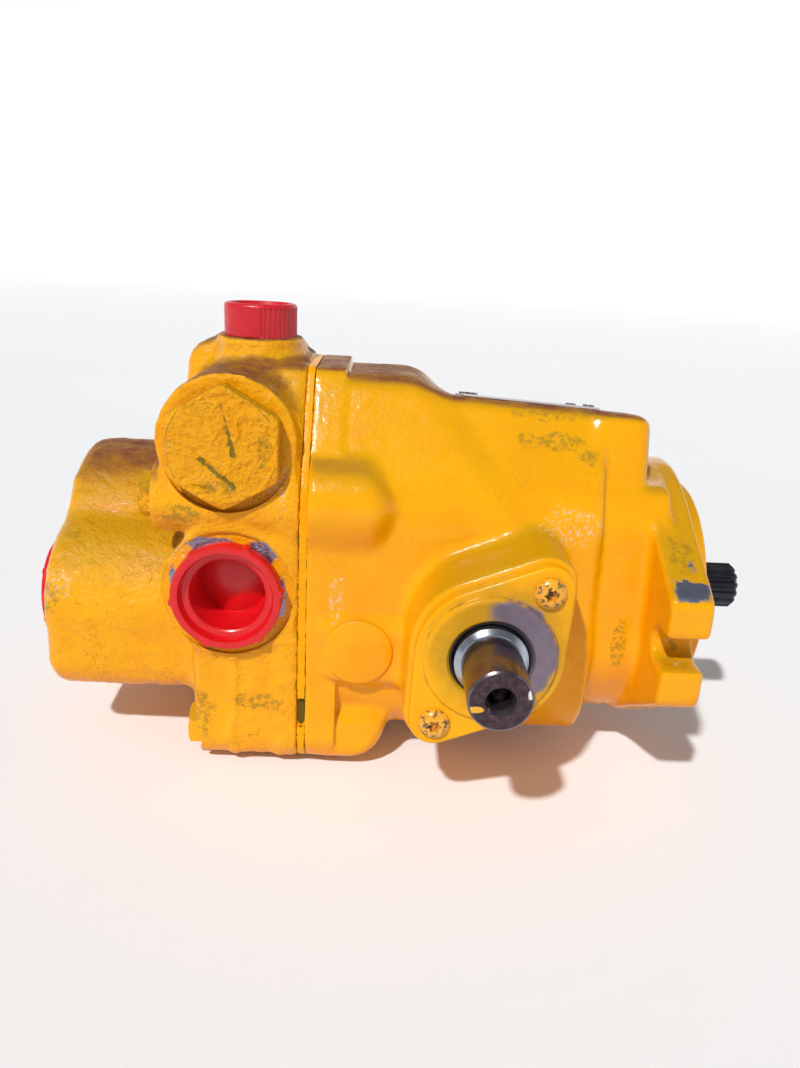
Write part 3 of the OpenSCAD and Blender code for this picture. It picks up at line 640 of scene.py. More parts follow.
def enamel(name, grain, skin, pits, olive=(), flecks=(), bare=(), gouges=(), rings=(), tops=()):
    """Thick yellow enamel over cast iron.

    olive and bare are ragged patches, flecks are ragged patches of pale spatter with painted glints,
    rings are thin dark lines in a crease, and tops is the height above which faces turned up are
    browned as a painted dark reflection, then the turn it starts at.
    grain and skin set the height of the cast bumps, and pits how dark the pinholes are.
    """
    f = Finish(name, YELLOW, 0.3, coat=COAT, coat_rough=0.04, specular=0.12)
    drift = f.noise(55, 3, 0.5)
    color = f.mix(f.step(drift, 0.3, 0.7), YELLOW, GOLD)
    color = f.mix(f.step(f.noise(14, 4, 0.6, shift=(40, 0, 9)), 0.45, 0.75, 0, 0.35), color, AMBER_TONE_AND_UNDERSIDE_SHADE)
    # Painted shade: faces turned down are pushed towards amber.
    underside_painted_shade = f.facing((0, 0, -1), -0.25, 0.8)
    color = f.mix(f.times(underside_painted_shade, 0.75), color, AMBER_TONE_AND_UNDERSIDE_SHADE)
    # Painted dark reflection: faces turned up are dulled towards mustard.
    upward_painted_reflection = f.facing((0, 0, 1), 0.25, 0.95)
    color = f.mix(f.times(upward_painted_reflection, 0.75), color, TOP_REFLECTION_MUSTARD)
    fine = f.noise(1.7, 3, 0.6)
    # Clustered pinholes
    pit_zone = f.step(f.noise(16, 3, 0.6, shift=(9, 70, 3)), 0.50, 0.66)
    pit = f.times(f.step(f.noise(0.8, 1, 0.5), 0.66, 0.74), pit_zone)
    pit = f.times(pit, pits)
    color = f.mix(pit, color, (0.10, 0.055, 0.006))
    rough = f.math("MULTIPLY_ADD", f.noise(9, 3, 0.6), 0.22, 0.14)
    gloss = COAT
    metal = 0.0
    # Painted dark reflection: above the given height, faces turned up are browned.
    if tops:
        level, turn = tops
        high = f.step(f.vector("DOT_PRODUCT", f.place, (-0.12, 0, 1)), level, level + 14)
        # Noise that breaks up the painted brown reflection.
        reflection_breakup = f.step(f.noise(9, 5, 0.7, shift=(5, 5, 50)), 0.35, 0.65, 1.0, 0.6)
        top = f.times(f.times(f.facing((0, 0, 1), turn, 0.95), reflection_breakup), high)
        color = f.mix(top, color, TOP_REFLECTION_BROWN)
        rough = f.blend(top, rough, 0.62)
        gloss = f.blend(top, COAT, 0.02)
    lace = f.step(f.noise(2.6, 6, 0.8), 0.44, 0.56, 0, 1)
    for mask in [f.spot(*s) for s in olive]:
        broken = f.times(mask, lace)
        color = f.mix(f.times(broken, 0.8), color, OLIVE)
        rough = f.blend(broken, rough, 0.5)
    # Pale flecks: spatter on the enamel, with painted glints.
    for mask in [f.spot(*s) for s in flecks]:
        broken = f.times(mask, f.step(f.noise(1.3, 4, 0.8), 0.52, 0.62))
        color = f.mix(f.times(broken, 0.8), color, PALE_FLECK_AND_GLINT)
        rough = f.blend(mask, rough, 0.2)
    for centre, radius, width in rings:
        away = f.from_y_line(centre)
        line = f.math("ABSOLUTE", f.math("SUBTRACT", away, radius))
        line = f.step(line, width * 0.4, width, 1, 0)
        line = f.times(line, f.step(f.noise(6, 3, 0.6), 0.4, 0.6, 0, 0.85))
        color = f.mix(line, color, (0.12, 0.085, 0.01))
    for mask in [f.stroke(*s) for s in gouges]:
        color = f.mix(f.times(mask, 0.85), color, (0.13, 0.12, 0.012))
        rough = f.blend(mask, rough, 0.6)
    for mask in [f.spot(*s) for s in bare]:
        scratched = f.mix(f.noise(3, 3, 0.6, stretch=(1, 1, 5)), BARE, (0.42, 0.44, 0.56))
        color = f.mix(mask, color, scratched)
        rough = f.blend(mask, rough, 0.36)
        metal = f.math("MAXIMUM", mask, metal)
    height = f.times(fine, 1.1 * grain)
    height = f.math("MULTIPLY_ADD", f.noise(4.5, 2, 0.5), 1.8 * grain, height)
    height = f.math("MULTIPLY_ADD", f.noise(0.8, 2, 0.5), 0.35 * grain, height)
    height = f.math("SUBTRACT", height, f.times(pit, 1.5))
    return f.finish(color, rough, metal if bare else None, height, skin, gloss if tops else None)


def steel(name, color, roughness, brushed=(1, 1, 1), metallic=1.0, mark=0.25):
    """Bare metal, mottled and brushed along the axes with a small number in brushed."""
    f = Finish(name, color, roughness, metallic)
    streak = f.noise(1.2, 4, 0.6, stretch=brushed)
    cloud = f.noise(12, 4, 0.6)
    dark = tuple(c * 0.55 for c in color)
    shade = f.mix(f.step(cloud, 0.35, 0.7, 0, 0.8), color, dark)
    rough = f.math("MULTIPLY_ADD", streak, mark, roughness - mark / 2)
    return f.finish(shade, rough, None, streak, 0.02)


def plastic(name, color, roughness):
    """Slightly translucent moulded plastic with specks of dust."""
    f = Finish(name, color, roughness, coat=0.15, coat_rough=0.2)
    f.shader.inputs["Subsurface Weight"].default_value = 0.08
    f.shader.inputs["Subsurface Radius"].default_value = (0.004, 0.0008, 0.0008)
    cloud = f.noise(8, 4, 0.6)
    shade = f.mix(f.step(cloud, 0.3, 0.8, 0, 0.5), color, tuple(c * 0.7 for c in color))
    dust = f.step(f.noise(0.9, 2, 0.5, shift=(0, 30, 0)), 0.72, 0.78)
    shade = f.mix(f.times(dust, 0.6), shade, (0.8, 0.35, 0.05))
    rough = f.math("MULTIPLY_ADD", cloud, 0.25, roughness - 0.1)
    return f.finish(shade, rough, None, f.noise(1.6, 3, 0.6), 0.03)


def rubber(name):
    f = Finish(name, (0.012, 0.012, 0.014), 0.45)
    grain = f.noise(0.9, 3, 0.6)
    color = f.mix(grain, (0.008, 0.008, 0.01), (0.03, 0.028, 0.03))
    return f.finish(color, None, None, grain, 0.05)


MACHINED = steel("machined_face", (0.42, 0.43, 0.47), 0.3)
RAW_CAST = steel("raw_casting", (0.16, 0.155, 0.15), 0.6, metallic=0.6)
SHAFT = steel("shaft_steel", (0.20, 0.17, 0.19), 0.2, (1, 0.15, 1), 0.9, 0.15)
SHOULDER = steel("shoulder_steel", (0.50, 0.55, 0.62), 0.22, (6, 0.2, 6), 1.0, 0.12)
SPLINE = steel("spline_steel", (0.045, 0.045, 0.06), 0.34, (0.2, 3, 3), 0.8, 0.2)
BRIGHT = steel("bright_steel", (0.56, 0.57, 0.60), 0.26)
BRONZE = steel("bronze", (0.50, 0.30, 0.12), 0.34)
RED = plastic("red_plastic", (0.72, 0.005, 0.010), 0.32)
RED_CAP = plastic("red_cap", (0.66, 0.006, 0.016), 0.36)
BLACK_RUBBER = rubber("black_rubber")


def end_face_steel():
    """Turned end of the control shaft: purple-brown, with chips of yellow and white paint."""
    f = Finish("shaft_end", (0.08, 0.05, 0.06), 0.36, 0.7)
    mottle = f.noise(2.4, 5, 0.7)
    color = f.mix(f.step(mottle, 0.35, 0.75), (0.045, 0.028, 0.036), (0.12, 0.075, 0.085))
    yellow = f.spot((-98.2, -124.9, -3.4), (3.1, 3, 1.3), 0.45, 2.0)
    white = f.spot((-78.9, -124.8, 3.6), (1.2, 3, 2.3), 0.4, 2.0)
    color = f.mix(yellow, color, (0.85, 0.42, 0.03))
    color = f.mix(white, color, (0.75, 0.70, 0.72))
    chips = f.math("MAXIMUM", yellow, white)
    height = f.math("MULTIPLY_ADD", chips, 2.0, mottle)
    metal = f.math("SUBTRACT", 0.7, chips, clamp=True)
    return f.finish(color, f.blend(chips, 0.36, 0.5), metal, height, 0.08)


def plate_top():
    """Data plate whose face is purple-dark, a painted reflection of a dark surround, and bright along
    its edges.
    """
    f = Finish("plate_metal", (0.16, 0.035, 0.06), 0.32, 0.7)
    top = f.facing((0, 0.1476, 0.9875), 0.85, 0.95)
    inner = f.step(f.vector("DOT_PRODUCT", f.place, (0, 1, 0)), -22.4, -21.6)
    top = f.times(top, inner)
    # Painted reflection: the purple-dark on the plate's face stands for a dark surround reflected in
    # the metal.
    purple_painted_reflection = f.mix(f.noise(6, 3, 0.5), (0.11, 0.025, 0.06), (0.20, 0.05, 0.10))
    color = f.mix(top, (0.75, 0.74, 0.78), purple_painted_reflection)
    return f.finish(color, None, f.blend(top, 0.4, 0.5), f.noise(1.5, 2, 0.5), 0.02)


def gasket_finish():
    """Dark gasket edge with flakes of yellow paint bridging it."""
    f = Finish("gasket", YELLOW, 0.4, specular=0.12)
    flake = f.step(f.noise(3.2, 4, 0.7, stretch=(0.5, 1, 1)), 0.24, 0.32)
    away = f.vector("DIVIDE", f.from_point((-166.8, -54, -49.6)), (2.6, 6, 7.4))
    hole = f.math("LESS_THAN", f.vector("LENGTH", away), 1)
    flake = f.times(flake, f.math("SUBTRACT", 1.0, hole))
    across = f.vector("DOT_PRODUCT", f.vector("ADD", f.place, (166.75, 0, 0)), (1, 0, 0))
    seam = f.step(f.math("ABSOLUTE", across), 1.45, 1.6)
    seam = f.times(seam, f.step(f.noise(5, 4, 0.7, stretch=(0.3, 1, 1)), 0.46, 0.6, 0, 1))
    flake = f.times(flake, f.math("SUBTRACT", 1.0, seam))
    color = f.mix(flake, (0.13, 0.085, 0.01), YELLOW)
    return f.finish(color, f.blend(flake, 0.7, 0.3), None, flake, 0.4)


HOUSING_PAINT = enamel(
    "housing_enamel", grain=0.6, skin=0.2, tops=(62, 0.7),
    flecks=[((-54.9, -51, 42.5), (14, 7, 8), 0.8, 6), ((-9.5, -75, -4.5), (3.6, 4, 3.4), 0.4, 4),
            ((-152, -56, 8), (3, 6, 12), 0.9, 5)],
    olive=[((-86, -44, 92), (14, 14, 3.2), 0.7, 9), ((-84, -50, 86), (3.5, 9, 2.5), 0.9, 4),
           ((-64, -46, 77), (16, 14, 4.2), 0.9, 9), ((-48, -46, 72), (5, 9, 5), 0.8, 5),
           ((-60, -40, 87), (26, 14, 3), 0.9, 7), ((-105, -44, 95), (14, 10, 5), 0.8, 8),
           ((-27, -52, -10), (3.2, 9, 12), 0.8, 5), ((-9.3, -74, -2), (6, 8, 6), 0.8, 5),
           ((-9, -62, 42), (6, 9, 16), 0.9, 7)],
    bare=[((-6.5, -72, 38), (3.0, 9, 6.5), 0.8, 5), ((-9.5, -77, 26.2), (8.0, 9, 3.2), 0.9, 5),
          ((-20, -30.8, 78), (1.4, 6, 8), 0.7, 5)],
    pits=0.35)
COVER_PAINT = enamel(
    "cover_enamel", grain=1.0, skin=0.6, tops=(64, 0.45),
    flecks=[((-221, -48, 27), (7, 9, 8), 0.8, 5), ((-279, -38, 2), (8, 12, 7), 0.8, 6),
            ((-176, -48, 52), (6, 8, 14), 0.9, 6)],
    rings=[((PORT[0], 0, PORT[1]), 29.0, 0.16)],
    olive=[((-282, -34, -4), (10, 12, 8), 0.9, 7), ((-277, -31, 22), (8, 10, 4), 0.9, 5),
           ((-218, -56, 41), (7, 8, 6), 0.9, 5), ((-199, -48, 55), (16, 4, 5), 1.0, 6),
           ((-214, -52, -52), (7, 6, 12), 0.9, 6), ((-186, -52, -46), (12, 6, 4), 0.9, 6)],
    bare=[((-205.7, -52, 28.2), (9.5, 2.5, 3.2), 0.6, 5),
          ((-184.5, -52, 25.0), (6.5, 2.5, 5.6), 0.7, 5),
          ((-176.2, -52, 5.0), (2.2, 2.5, 9.0), 0.7, 5),
          ((-222.2, -52, 12), (1.8, 2.5, 6), 0.7, 4)],
    pits=0.6)
HEX_PAINT = enamel(
    "hex_plug_enamel", grain=1.6, skin=0.9,
    rings=[((NEAR_VALVE[0], 0, NEAR_VALVE[1]), 22.3, 0.2)],
    olive=[((-199, -61.4, 56), (11, 2, 2.5), 1.0, 4), ((-182, -61.4, 72), (2.5, 3, 8), 0.9, 4)],
    gouges=[((-198.9, -61.2, 89.6), (-196.9, -61.2, 81), 0.85, 0.6, 2),
            ((-196.9, -61.2, 80), (-194.3, -61.2, 69.5), 1.2, 0.7, 2),
            ((-207.8, -61.2, 67.5), (-194.2, -61.2, 56.2), 1.1, 0.9, 2),
            ((-210.1, -61.2, 56.4), (-201.3, -61.2, 53.7), 0.55, 1.2, 2)],
    pits=0.25)
TRUNNION_PAINT = enamel(
    "trunnion_enamel", grain=0.45, skin=0.08,
    olive=[((-78, -93, 22), (22, 4, 10), 0.7, 6), ((-112, -93, 6), (3, 3, 8), 0.9, 4)],
    pits=0.25)
SMALL_PAINT = enamel("small_enamel", grain=0.5, skin=0.10, pits=0.2)
BOLT_PAINT = enamel(
    "bolt_enamel", grain=1.2, skin=0.3, pits=1.0,
    olive=[((-234, -40, 46), (8, 14, 14), 0.3, 5)])


def disc_finish():
    """Enamel of the trunnion cover, worn through to grey around the seal's right half."""
    f = Finish("trunnion_enamel_worn", YELLOW, 0.28, coat=0.16, coat_rough=0.045, specular=0.15)
    edge = f.math("SUBTRACT", f.noise(9, 4, 0.6), 0.5)
    x = f.vector("DOT_PRODUCT", f.from_point((-84, 0, 3.5)), (1, 0, 0))
    away = f.from_y_line((-85.0, 0, 3.2))
    bare = f.step(f.math("MULTIPLY_ADD", edge, 10, away), 20.5, 23.0, 1, 0)
    side = f.step(f.math("MULTIPLY_ADD", edge, 14, x), -11, -3)
    bare = f.times(bare, side)
    haze = f.step(f.math("MULTIPLY_ADD", edge, 14, away), 20, 33, 1, 0)
    color = f.mix(f.step(f.noise(40, 3, 0.5), 0.3, 0.7), YELLOW, GOLD)
    color = f.mix(f.times(haze, 0.55), color, (0.36, 0.22, 0.02))
    crease = f.math("ABSOLUTE", f.math("SUBTRACT", f.from_y_line((TILT_X, 0, 0)), 26.7))
    crease = f.step(crease, 0.15, 0.45, 1, 0)
    crease = f.times(crease, f.step(f.noise(8, 3, 0.6), 0.4, 0.65, 0.1, 0.8))
    color = f.mix(crease, color, (0.20, 0.13, 0.012))
    grey = f.mix(f.noise(5, 4, 0.6), (0.17, 0.13, 0.17), (0.29, 0.235, 0.29))
    color = f.mix(bare, color, grey)
    height = f.math("MULTIPLY_ADD", f.noise(0.7, 2, 0.5), 0.8, f.noise(5, 2, 0.5))
    coat = f.math("MULTIPLY_ADD", bare, -0.16, 0.16)
    return f.finish(color, f.blend(bare, 0.28, 0.42), f.times(bare, 0.55), height, 0.10, coat)


def screw_finish():
    """Button screw with enamel chipped to rust and steel around its socket."""
    f = Finish("screw_enamel", YELLOW, 0.3, coat=0.4)
    chip = f.step(f.noise(2.8, 5, 0.75), 0.53, 0.58)
    color = f.mix(chip, (0.90, 0.40, 0.01), (0.10, 0.055, 0.03))
    spark = f.step(f.noise(0.9, 3, 0.6, shift=(9, 0, 0)), 0.60, 0.66)
    color = f.mix(spark, color, (0.45, 0.36, 0.30))
    return f.finish(color, f.blend(chip, 0.3, 0.55), None, f.math("SUBTRACT", 1.0, chip), 0.15)


WORN_DISC = disc_finish()
SCREW_PAINT = screw_finish()
SHAFT_END = end_face_steel()
PLATE = plate_top()
GASKET = gasket_finish()


# ---- Pieces ----
def dress(obj, node, slot, *materials, body="case"):
    """Gives a piece its materials and its body, and hides the CAD node that it stands for. The slot is
    not used.
    """
    for i, material in enumerate(materials):
        if i < len(obj.data.materials):
            obj.data.materials[i] = material
        else:
            obj.data.materials.append(material)
    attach(obj, body)
    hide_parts(node)


def three_slots(obj):
    obj.data.materials.clear()
    for _ in range(3):
        obj.data.materials.append(MACHINED)
    return obj


def casting(name, field, low, high, cell):
    verts, quads = mesh_field(field, low, high, cell)
    return three_slots(new_object(name, verts, quads, True))


def cut(obj, cutters, operation="DIFFERENCE"):
    return boolean(obj, [three_slots(c) for c in cutters], operation)


def soften(obj, angle=35.0):
    """Smooth shading with edges sharper than the angle kept."""
    obj.data.shade_smooth()
    obj.data.set_sharp_from_angle(angle=radians(angle))
    return obj


def side_y(side, low, high):
    return (low, high) if side > 0 else (-high, -low)


HEX_BOLTS = [(-40, 46, -230.5), (-40, -64.5, -212.5), (40, -64.5, -212.5)]
SOCKET_BOLT = (41, 39.2, -272)
BOLTS = HEX_BOLTS + [SOCKET_BOLT]
SCREWS = [(s * TRUNNION_END[0] + TILT_X, s * TRUNNION_END[1]) for s in (-1, 1)]

housing = casting("housing_casting", housing_field, (-167.2, -88.6, -78.4), (2.6, 88.6, 103.4), 1.45)
cuts = [
    block_cutter((0, -90, -80), (6, 90, 80), 1),
    cutter(rod(-168, -42, 48), (0, 0, 0), "x", 128, 2),
    block_cutter((-128, -27, 0), (-52, 27, 76)),
    block_cutter((-115.4, -51.2, -27), (-51.4, 51.2, 27)),
    cutter(rod(-90, 90, 20), (TILT_X, 0, 0), "y", 96, 1),
    cutter(rod(-59.6, -40, 10), (-142, 0, -16), "y", 64, 1),
]
cuts += [cutter(rod(-168, -133, 6), (0, y, z), "x", 48, 1) for y, z, _ in BOLTS]
for x, z in SCREWS:
    cuts += [cutter(rod(*side_y(s, 72, 88), 3), (x, 0, z), "y", 32, 1) for s in (-1, 1)]
cut(housing, cuts)
pilot = cutter([(-8, 0), (-8, 50.8), (8.5, 50.8), (9.5, 49.8), (9.5, 0)], (0, 0, 0), "x", 160)
cut(housing, [pilot], "UNION")
bores = [(-43, 0), (-43, 36), (-9, 36), (-9, 30), (0, 30), (0, 24), (4, 24), (4, 25.2),
         (5.4, 25.2), (5.4, 24), (10.5, 24), (10.5, 0)]
cut(housing, [cutter(bores, (0, 0, 0), "x", 128)])
soften(housing)
dress(housing, "housing", "yellow_paint", HOUSING_PAINT, MACHINED, RAW_CAST)

end_cover = casting("end_cover_casting", end_cover_field,
                    (-287.2, -60.2, -78.4), (-166.4, 60.2, 113.4), 1.25)
suction = [(-287, 0), (-287, 26), (-283, 26), (-283, 20.2), (-265, 20.2), (-265, 14),
           (-222, 14), (-222, 6), (-203.4, 6), (-203.4, 0)]
top_bore = [(23, 0), (23, 3.5), (96, 3.5), (96, 12.5), (112, 12.5), (112, 0)]
cuts = [
    cutter([(-190, 0), (-190, 24), (-166, 24), (-166, 0)], (0, 0, 0), "x", 96),
    cutter(rod(-204.2, -189, 21.56), (0, GEROTOR_SHIFT, -GEROTOR_SHIFT), "x", 96),
    cutter(suction, (0, SUCTION[0], SUCTION[1]), "x", 96, 1),
    cutter(top_bore, (TOP_PORT_X, 0, 0), "z", 64),
]
for s in (-1, 1):
    arc = [radians(a) for a in range(-39, 40, 3)]
    kidney = [(s * 36 * cos(a), 36 * sin(a)) for a in arc]
    kidney += [(s * 27 * cos(a), 27 * sin(a)) for a in reversed(arc)]
    cuts += [prism_x(kidney, -206, -166),
             cutter(rod(*side_y(s, 32, 56), 20.2), (PORT[0], 0, PORT[1]), "y", 96)]
for (x, z), s in ((NEAR_VALVE, -1), (FAR_VALVE, 1)):
    for near, far, r, n, slot in ((51.4, 64, 27.98, 128, 0), (34, 53, 17, 96, 1), (12, 35, 9, 64, 1)):
        cuts.append(cutter(rod(*side_y(s, near, far), r), (x, 0, z), "y", n, slot))
    cuts += [cutter(rod(z - 60, z, 4.5), (x, s * 28, 0), "z", 32, 2),
             cutter(rod(*side_y(s, 51.7, 57), 28.4), (PORT[0], 0, PORT[1]), "y", 128, 0)]
cuts += [cutter(rod(seat - 1, -166, 6.4), (0, y, z), "x", 48) for y, z, seat in BOLTS]
cuts += [cutter(rod(seat - 10, seat, 12), (0, y, z), "x", 64, 0) for y, z, seat in HEX_BOLTS]
cuts.append(cutter(rod(-287, SOCKET_BOLT[2], 9.6), (0, *SOCKET_BOLT[:2]), "x", 64, 0))
cut(end_cover, cuts)
soften(end_cover)
dress(end_cover, "end_cover", "yellow_paint", COVER_PAINT, MACHINED, RAW_CAST)


def gasket_field(p):
    x, y, z = p[:, 0], p[:, 1], p[:, 2]
    outline = convex(y, z, mirrored([(u - 0.5, v) for u, v in BAND_HALF]), 3) - 0.1
    d = slab(outline, x, COVER_X - 0.1, REAR_X + 0.1, 0.1)
    notch = box(p, (-169.9, -60, -56.8), (-163, -51.8, -42.4), 0.4)
    return smax(smax(d, -notch, 0.4) + 0.12 * lumps(p, 2.6, 5), LOWEST_Z - z, 0.35)


def plain_ring(name, profile, origin, axis):
    verts, faces = ring(profile, 128)
    return face_out(soften(new_object(name, placed(verts, origin, axis), faces)))


def turned(name, profile, origin, axis, sides, warp=None, angle=35.0):
    verts, faces = lathe(profile, sides, warp)
    return soften(face_out(new_object(name, placed(verts, origin, axis), faces)), angle)


def joined(name, parts):
    """One object from several."""
    bm = bmesh.new()
    for part in parts:
        bm.from_mesh(part.data)
    mesh = bpy.data.meshes.new(name)
    bm.to_mesh(mesh)
    bm.free()
    for part in parts:
        bpy.data.objects.remove(part)
    return linked(name, mesh)


gasket = casting("gasket_sheet", gasket_field, (-169.6, -55.6, -77.2), (-163.9, 55.6, 102.4), 0.8)
cut(gasket, [cutter(rod(-171, -163, 48.2), (0, 0, 0), "x", 128)])
for y, z, _ in BOLTS:
    cut(gasket, [cutter(rod(-171, -163, 6.4), (0, y, z), "x", 48)])
soften(gasket)
dress(gasket, "cover_gasket", "gasket", GASKET, GASKET, GASKET)


def trunnion_field(p):
    """Near trunnion cover, its outer face towards -Y."""
    u, y, z = p[:, 0] - TILT_X, p[:, 1], p[:, 2]
    plate = slab(trunnion_oval(p[:, 0], z, 29.7, 10.2), y, -92, -84, 1.4)
    raised = slab(np.hypot(u, z) - 26.1, y, -93.9, -84, 1.1)
    spigot = slab(np.hypot(u, z) - 19.97, y, -90, -80, 0.5)
    d = np.minimum(smin(plate, raised, 1.6), spigot)
    lip = np.hypot(np.hypot(u, z) - 24.3, y + 93.7)
    return d + 0.05 * lumps(p, 4, 8) - 0.12 * fade(lip, 0.2, 1.6)


def trunnion_piece(name, side):
    verts, quads = mesh_field(trunnion_field, (-123, -95, -42.4), (-56, -79.2, 42.4), 0.6)
    if side > 0:
        verts = verts * np.array([1, -1, 1])
        quads = quads[:, ::-1]
    return three_slots(new_object(name, verts, quads, True))


near_cover = trunnion_piece("trunnion_cover_near", -1)
seal_bore = [(-96, 0), (-96, 17.4), (-93.9, 17.4), (-92.9, 16.4), (-89, 16.4), (-89, 17.6),
             (-79, 17.6), (-79, 0)]
cut(near_cover, [cutter(seal_bore, (TILT_X, 0, 0), "y", 128, 0)])
far_cover = trunnion_piece("trunnion_cover_far", 1)
cut(far_cover, [cutter(rod(79, 88, 15), (TILT_X, 0, 0), "y", 96)])
for x, z in SCREWS:
    cut(near_cover, [cutter(rod(-96, -84, 3.3), (x, 0, z), "y", 32)])
    cut(far_cover, [cutter(rod(84, 96, 3.3), (x, 0, z), "y", 32)])
for cover, node, paint in ((near_cover, "trunnion_cover", WORN_DISC),
                           (far_cover, "blind_trunnion_cover", TRUNNION_PAINT)):
    soften(cover)
    dress(cover, node, "yellow_paint", paint, MACHINED, MACHINED)

# Button screws with six-lobed sockets
DOME = [(73, 0), (73, 2.98), (92.0, 2.98), (92.0, 5.9), (92.3, 6.25), (92.8, 6.3), (93.4, 6.15),
        (94.2, 5.5), (94.9, 4.6), (95.4, 3.5), (95.6, 2.6), (95.6, 0)]


def lobes(h, r, a):
    return r * (1 + 0.17 * cos(6 * a))


heads = []
for side in (-1, 1):
    star = [(side * h, r) for h, r in rod(92.9, 96.5, 2.4)]
    for x, z in SCREWS:
        head = three_slots(turned("screw", [(side * h, r) for h, r in DOME], (x, 0, z), "y", 96))
        verts, faces = lathe(star, 72, lobes)
        socket = three_slots(face_out(new_object("socket", placed(verts, (x, 0, z), "y"), faces)))
        heads.append(boolean(head, [socket]))
screws = soften(joined("button_screws", heads), 40)
dress(screws, "trunnion_screws", "yellow_paint", SCREW_PAINT)

lip = [(-88.9, 17.55), (-88.9, 16.35), (-92.4, 16.35), (-92.9, 16.1), (-92.9, 15.6), (-91.4, 15.3),
       (-91.0, 14.66), (-80, 14.66), (-80, 17.55)]
seal = plain_ring("lip_seal", lip, (TILT_X, 0, 0), "y")
dress(seal, "trunnion_seal", "black_rubber", BLACK_RUBBER)

# Control shaft: stepped bar with a chamfered shoulder, centre hole and keyway
bar = [(-44, 0), (-44, 13), (-52, 13), (-52, 14.6), (-95, 14.6), (-95.15, 14.55), (-96.9, 12.75),
       (-97.0, 12.5), (-97.2, 12.06), (-123.9, 12.06), (-124.15, 12.0), (-124.9, 11.2), (-125, 11.0),
       (-125, 0)]
shaft = three_slots(turned("control_bar", bar, (TILT_X, 0, 0), "y", 160))
hole = [(-126, 0), (-126, 5.7), (-125, 5.7), (-122.6, 4.4), (-101, 4.4), (-99, 0)]
cut(shaft, [cutter(hole, (TILT_X, 0, 0), "y", 96, 2)])
key = block_cutter((-15.1, -112, -9.5), (-9.1, -97, -4.5), 2)
turn = Matrix.Translation((TILT_X * MM, 0, 0)) @ Matrix.Rotation(radians(-30), 4, "Y")
key.data.transform(turn)
cut(shaft, [key])
for poly in shaft.data.polygons:
    depth = poly.center.y / MM
    if poly.material_index == 0:
        poly.material_index = 1 if -97.3 < depth < -80 else 2 if depth < -124.9 else 0
soften(shaft, 20)
dress(shaft, "control_shaft", "dark_steel", SHAFT, SHOULDER, SHAFT_END, body="swash")


# Hexagon plugs: hand-wrinkled enamel over a forged head
GOUGES = [((-198.9, 89.6), (-194.3, 69.5), 1.7), ((-209.8, 69.5), (-194.2, 56.2), 1.5),
          ((-210.1, 56.4), (-201.3, 53.7), 1.0)]
HEX_ACROSS = 44.9


def scores(x, z):
    """Grooves scored in the plug's face, from 0 to 1."""
    depth = 0
    for (x0, z0), (x1, z1), width in GOUGES:
        u, w = x1 - x0, z1 - z0
        t = np.clip(((x - x0) * u + (z - z0) * w) / (u ** 2 + w ** 2), 0, 1)
        away = np.hypot(x - x0 - t * u, z - z0 - t * w)
        reach = width * (0.5 + 0.9 * np.sin(pi * np.clip(t, 0.1, 0.9)))
        depth = np.maximum(depth, fade(away, 0, reach))
    return depth


def plug_field(centre, side):
    """Plug with a chamfered hexagon head, a neck and a thread, opened towards its own side."""
    corners = hexagon_points(centre, HEX_ACROSS / sqrt(3), 30)

    def field(p):
        x, y, z = p[:, 0], p[:, 1] * side, p[:, 2]
        r = np.hypot(x - centre[0], z - centre[1])
        d = smax(convex(x, z, corners, 0.5), r - 25.2, 0.6)
        d = slab(d, y, 52.5, PLUG_FACE, 0.5)
        d = smax(d, (r - 22.2) * 0.42 + (y - PLUG_FACE) * 0.907, 0.35)
        d = np.minimum(d, slab(r - 18.5, y, 50.5, 54, 0.3))
        d = np.minimum(d, slab(r - 16.97, y, 35, 52, 0.3))
        face = fade(np.abs(y - PLUG_FACE), 0.3, 1.6) * fade(r, 20.5, 22.5)
        flat = p * np.array([1.0, 0.0, 0.7])
        wrinkle = np.abs(lumps(flat, 3.6, 11)) + 0.7 * np.abs(lumps(flat + 3.3, 2.2, 12))
        relief = 0.75 * wrinkle * (0.35 + 0.65 * fade(-x - 0.6 * z, 140, 165)) + 0.9 * scores(x, z)
        return d + 0.06 * lumps(p, 3.0, 9) + face * relief
    return field


plugs = []
for centre, side in ((NEAR_VALVE, -1), (FAR_VALVE, 1)):
    low, high = side_y(side, 34, 62.4)
    x, z = centre
    field = plug_field(centre, side)
    verts, quads = mesh_field(field, (x - 27, low, z - 27), (x + 27, high, z + 27), 0.5)
    plugs.append(new_object("plug", verts, quads, True))
plugs = soften(joined("hexagon_plugs", plugs), 50)
dress(plugs, "relief_plugs", "yellow_paint", HEX_PAINT)


# Red shipping plugs: six tabs round the rim, a stepped mouth and a domed floor
def tabs(h, r, a):
    if r < 22.9 or h < 0:
        return r
    nearest = (degrees(a) - 7.5 + 30) % 60 - 30
    return r + 1.0 * float(fade(abs(nearest), 2.2, 4.4))


def port_plug(origin, axis):
    dome = [(-12.6 - 0.013 * r * r, r) for r in (0, 2, 4, 6, 8, 10, 12, 14, 15.2)]
    rim = [(-17, 0), (-17, 19.4), (-16.2, 20.15), (0.02, 20.15), (0.02, 23.2), (0.5, 23.6), (6.3, 23.6),
           (6.85, 23.2), (7.0, 22.6), (7.0, 20.9), (6.8, 20.35), (6.2, 20.0), (4.2, 19.7), (3.2, 19.2),
           (3.0, 18.2), (3.0, 17.0), (2.5, 16.4), (1.5, 16.2), (-14.8, 15.7)]
    verts, faces = lathe(rim + list(reversed(dome)), 288, tabs)
    return face_out(new_object("port_plug", placed(verts, origin, axis), faces))


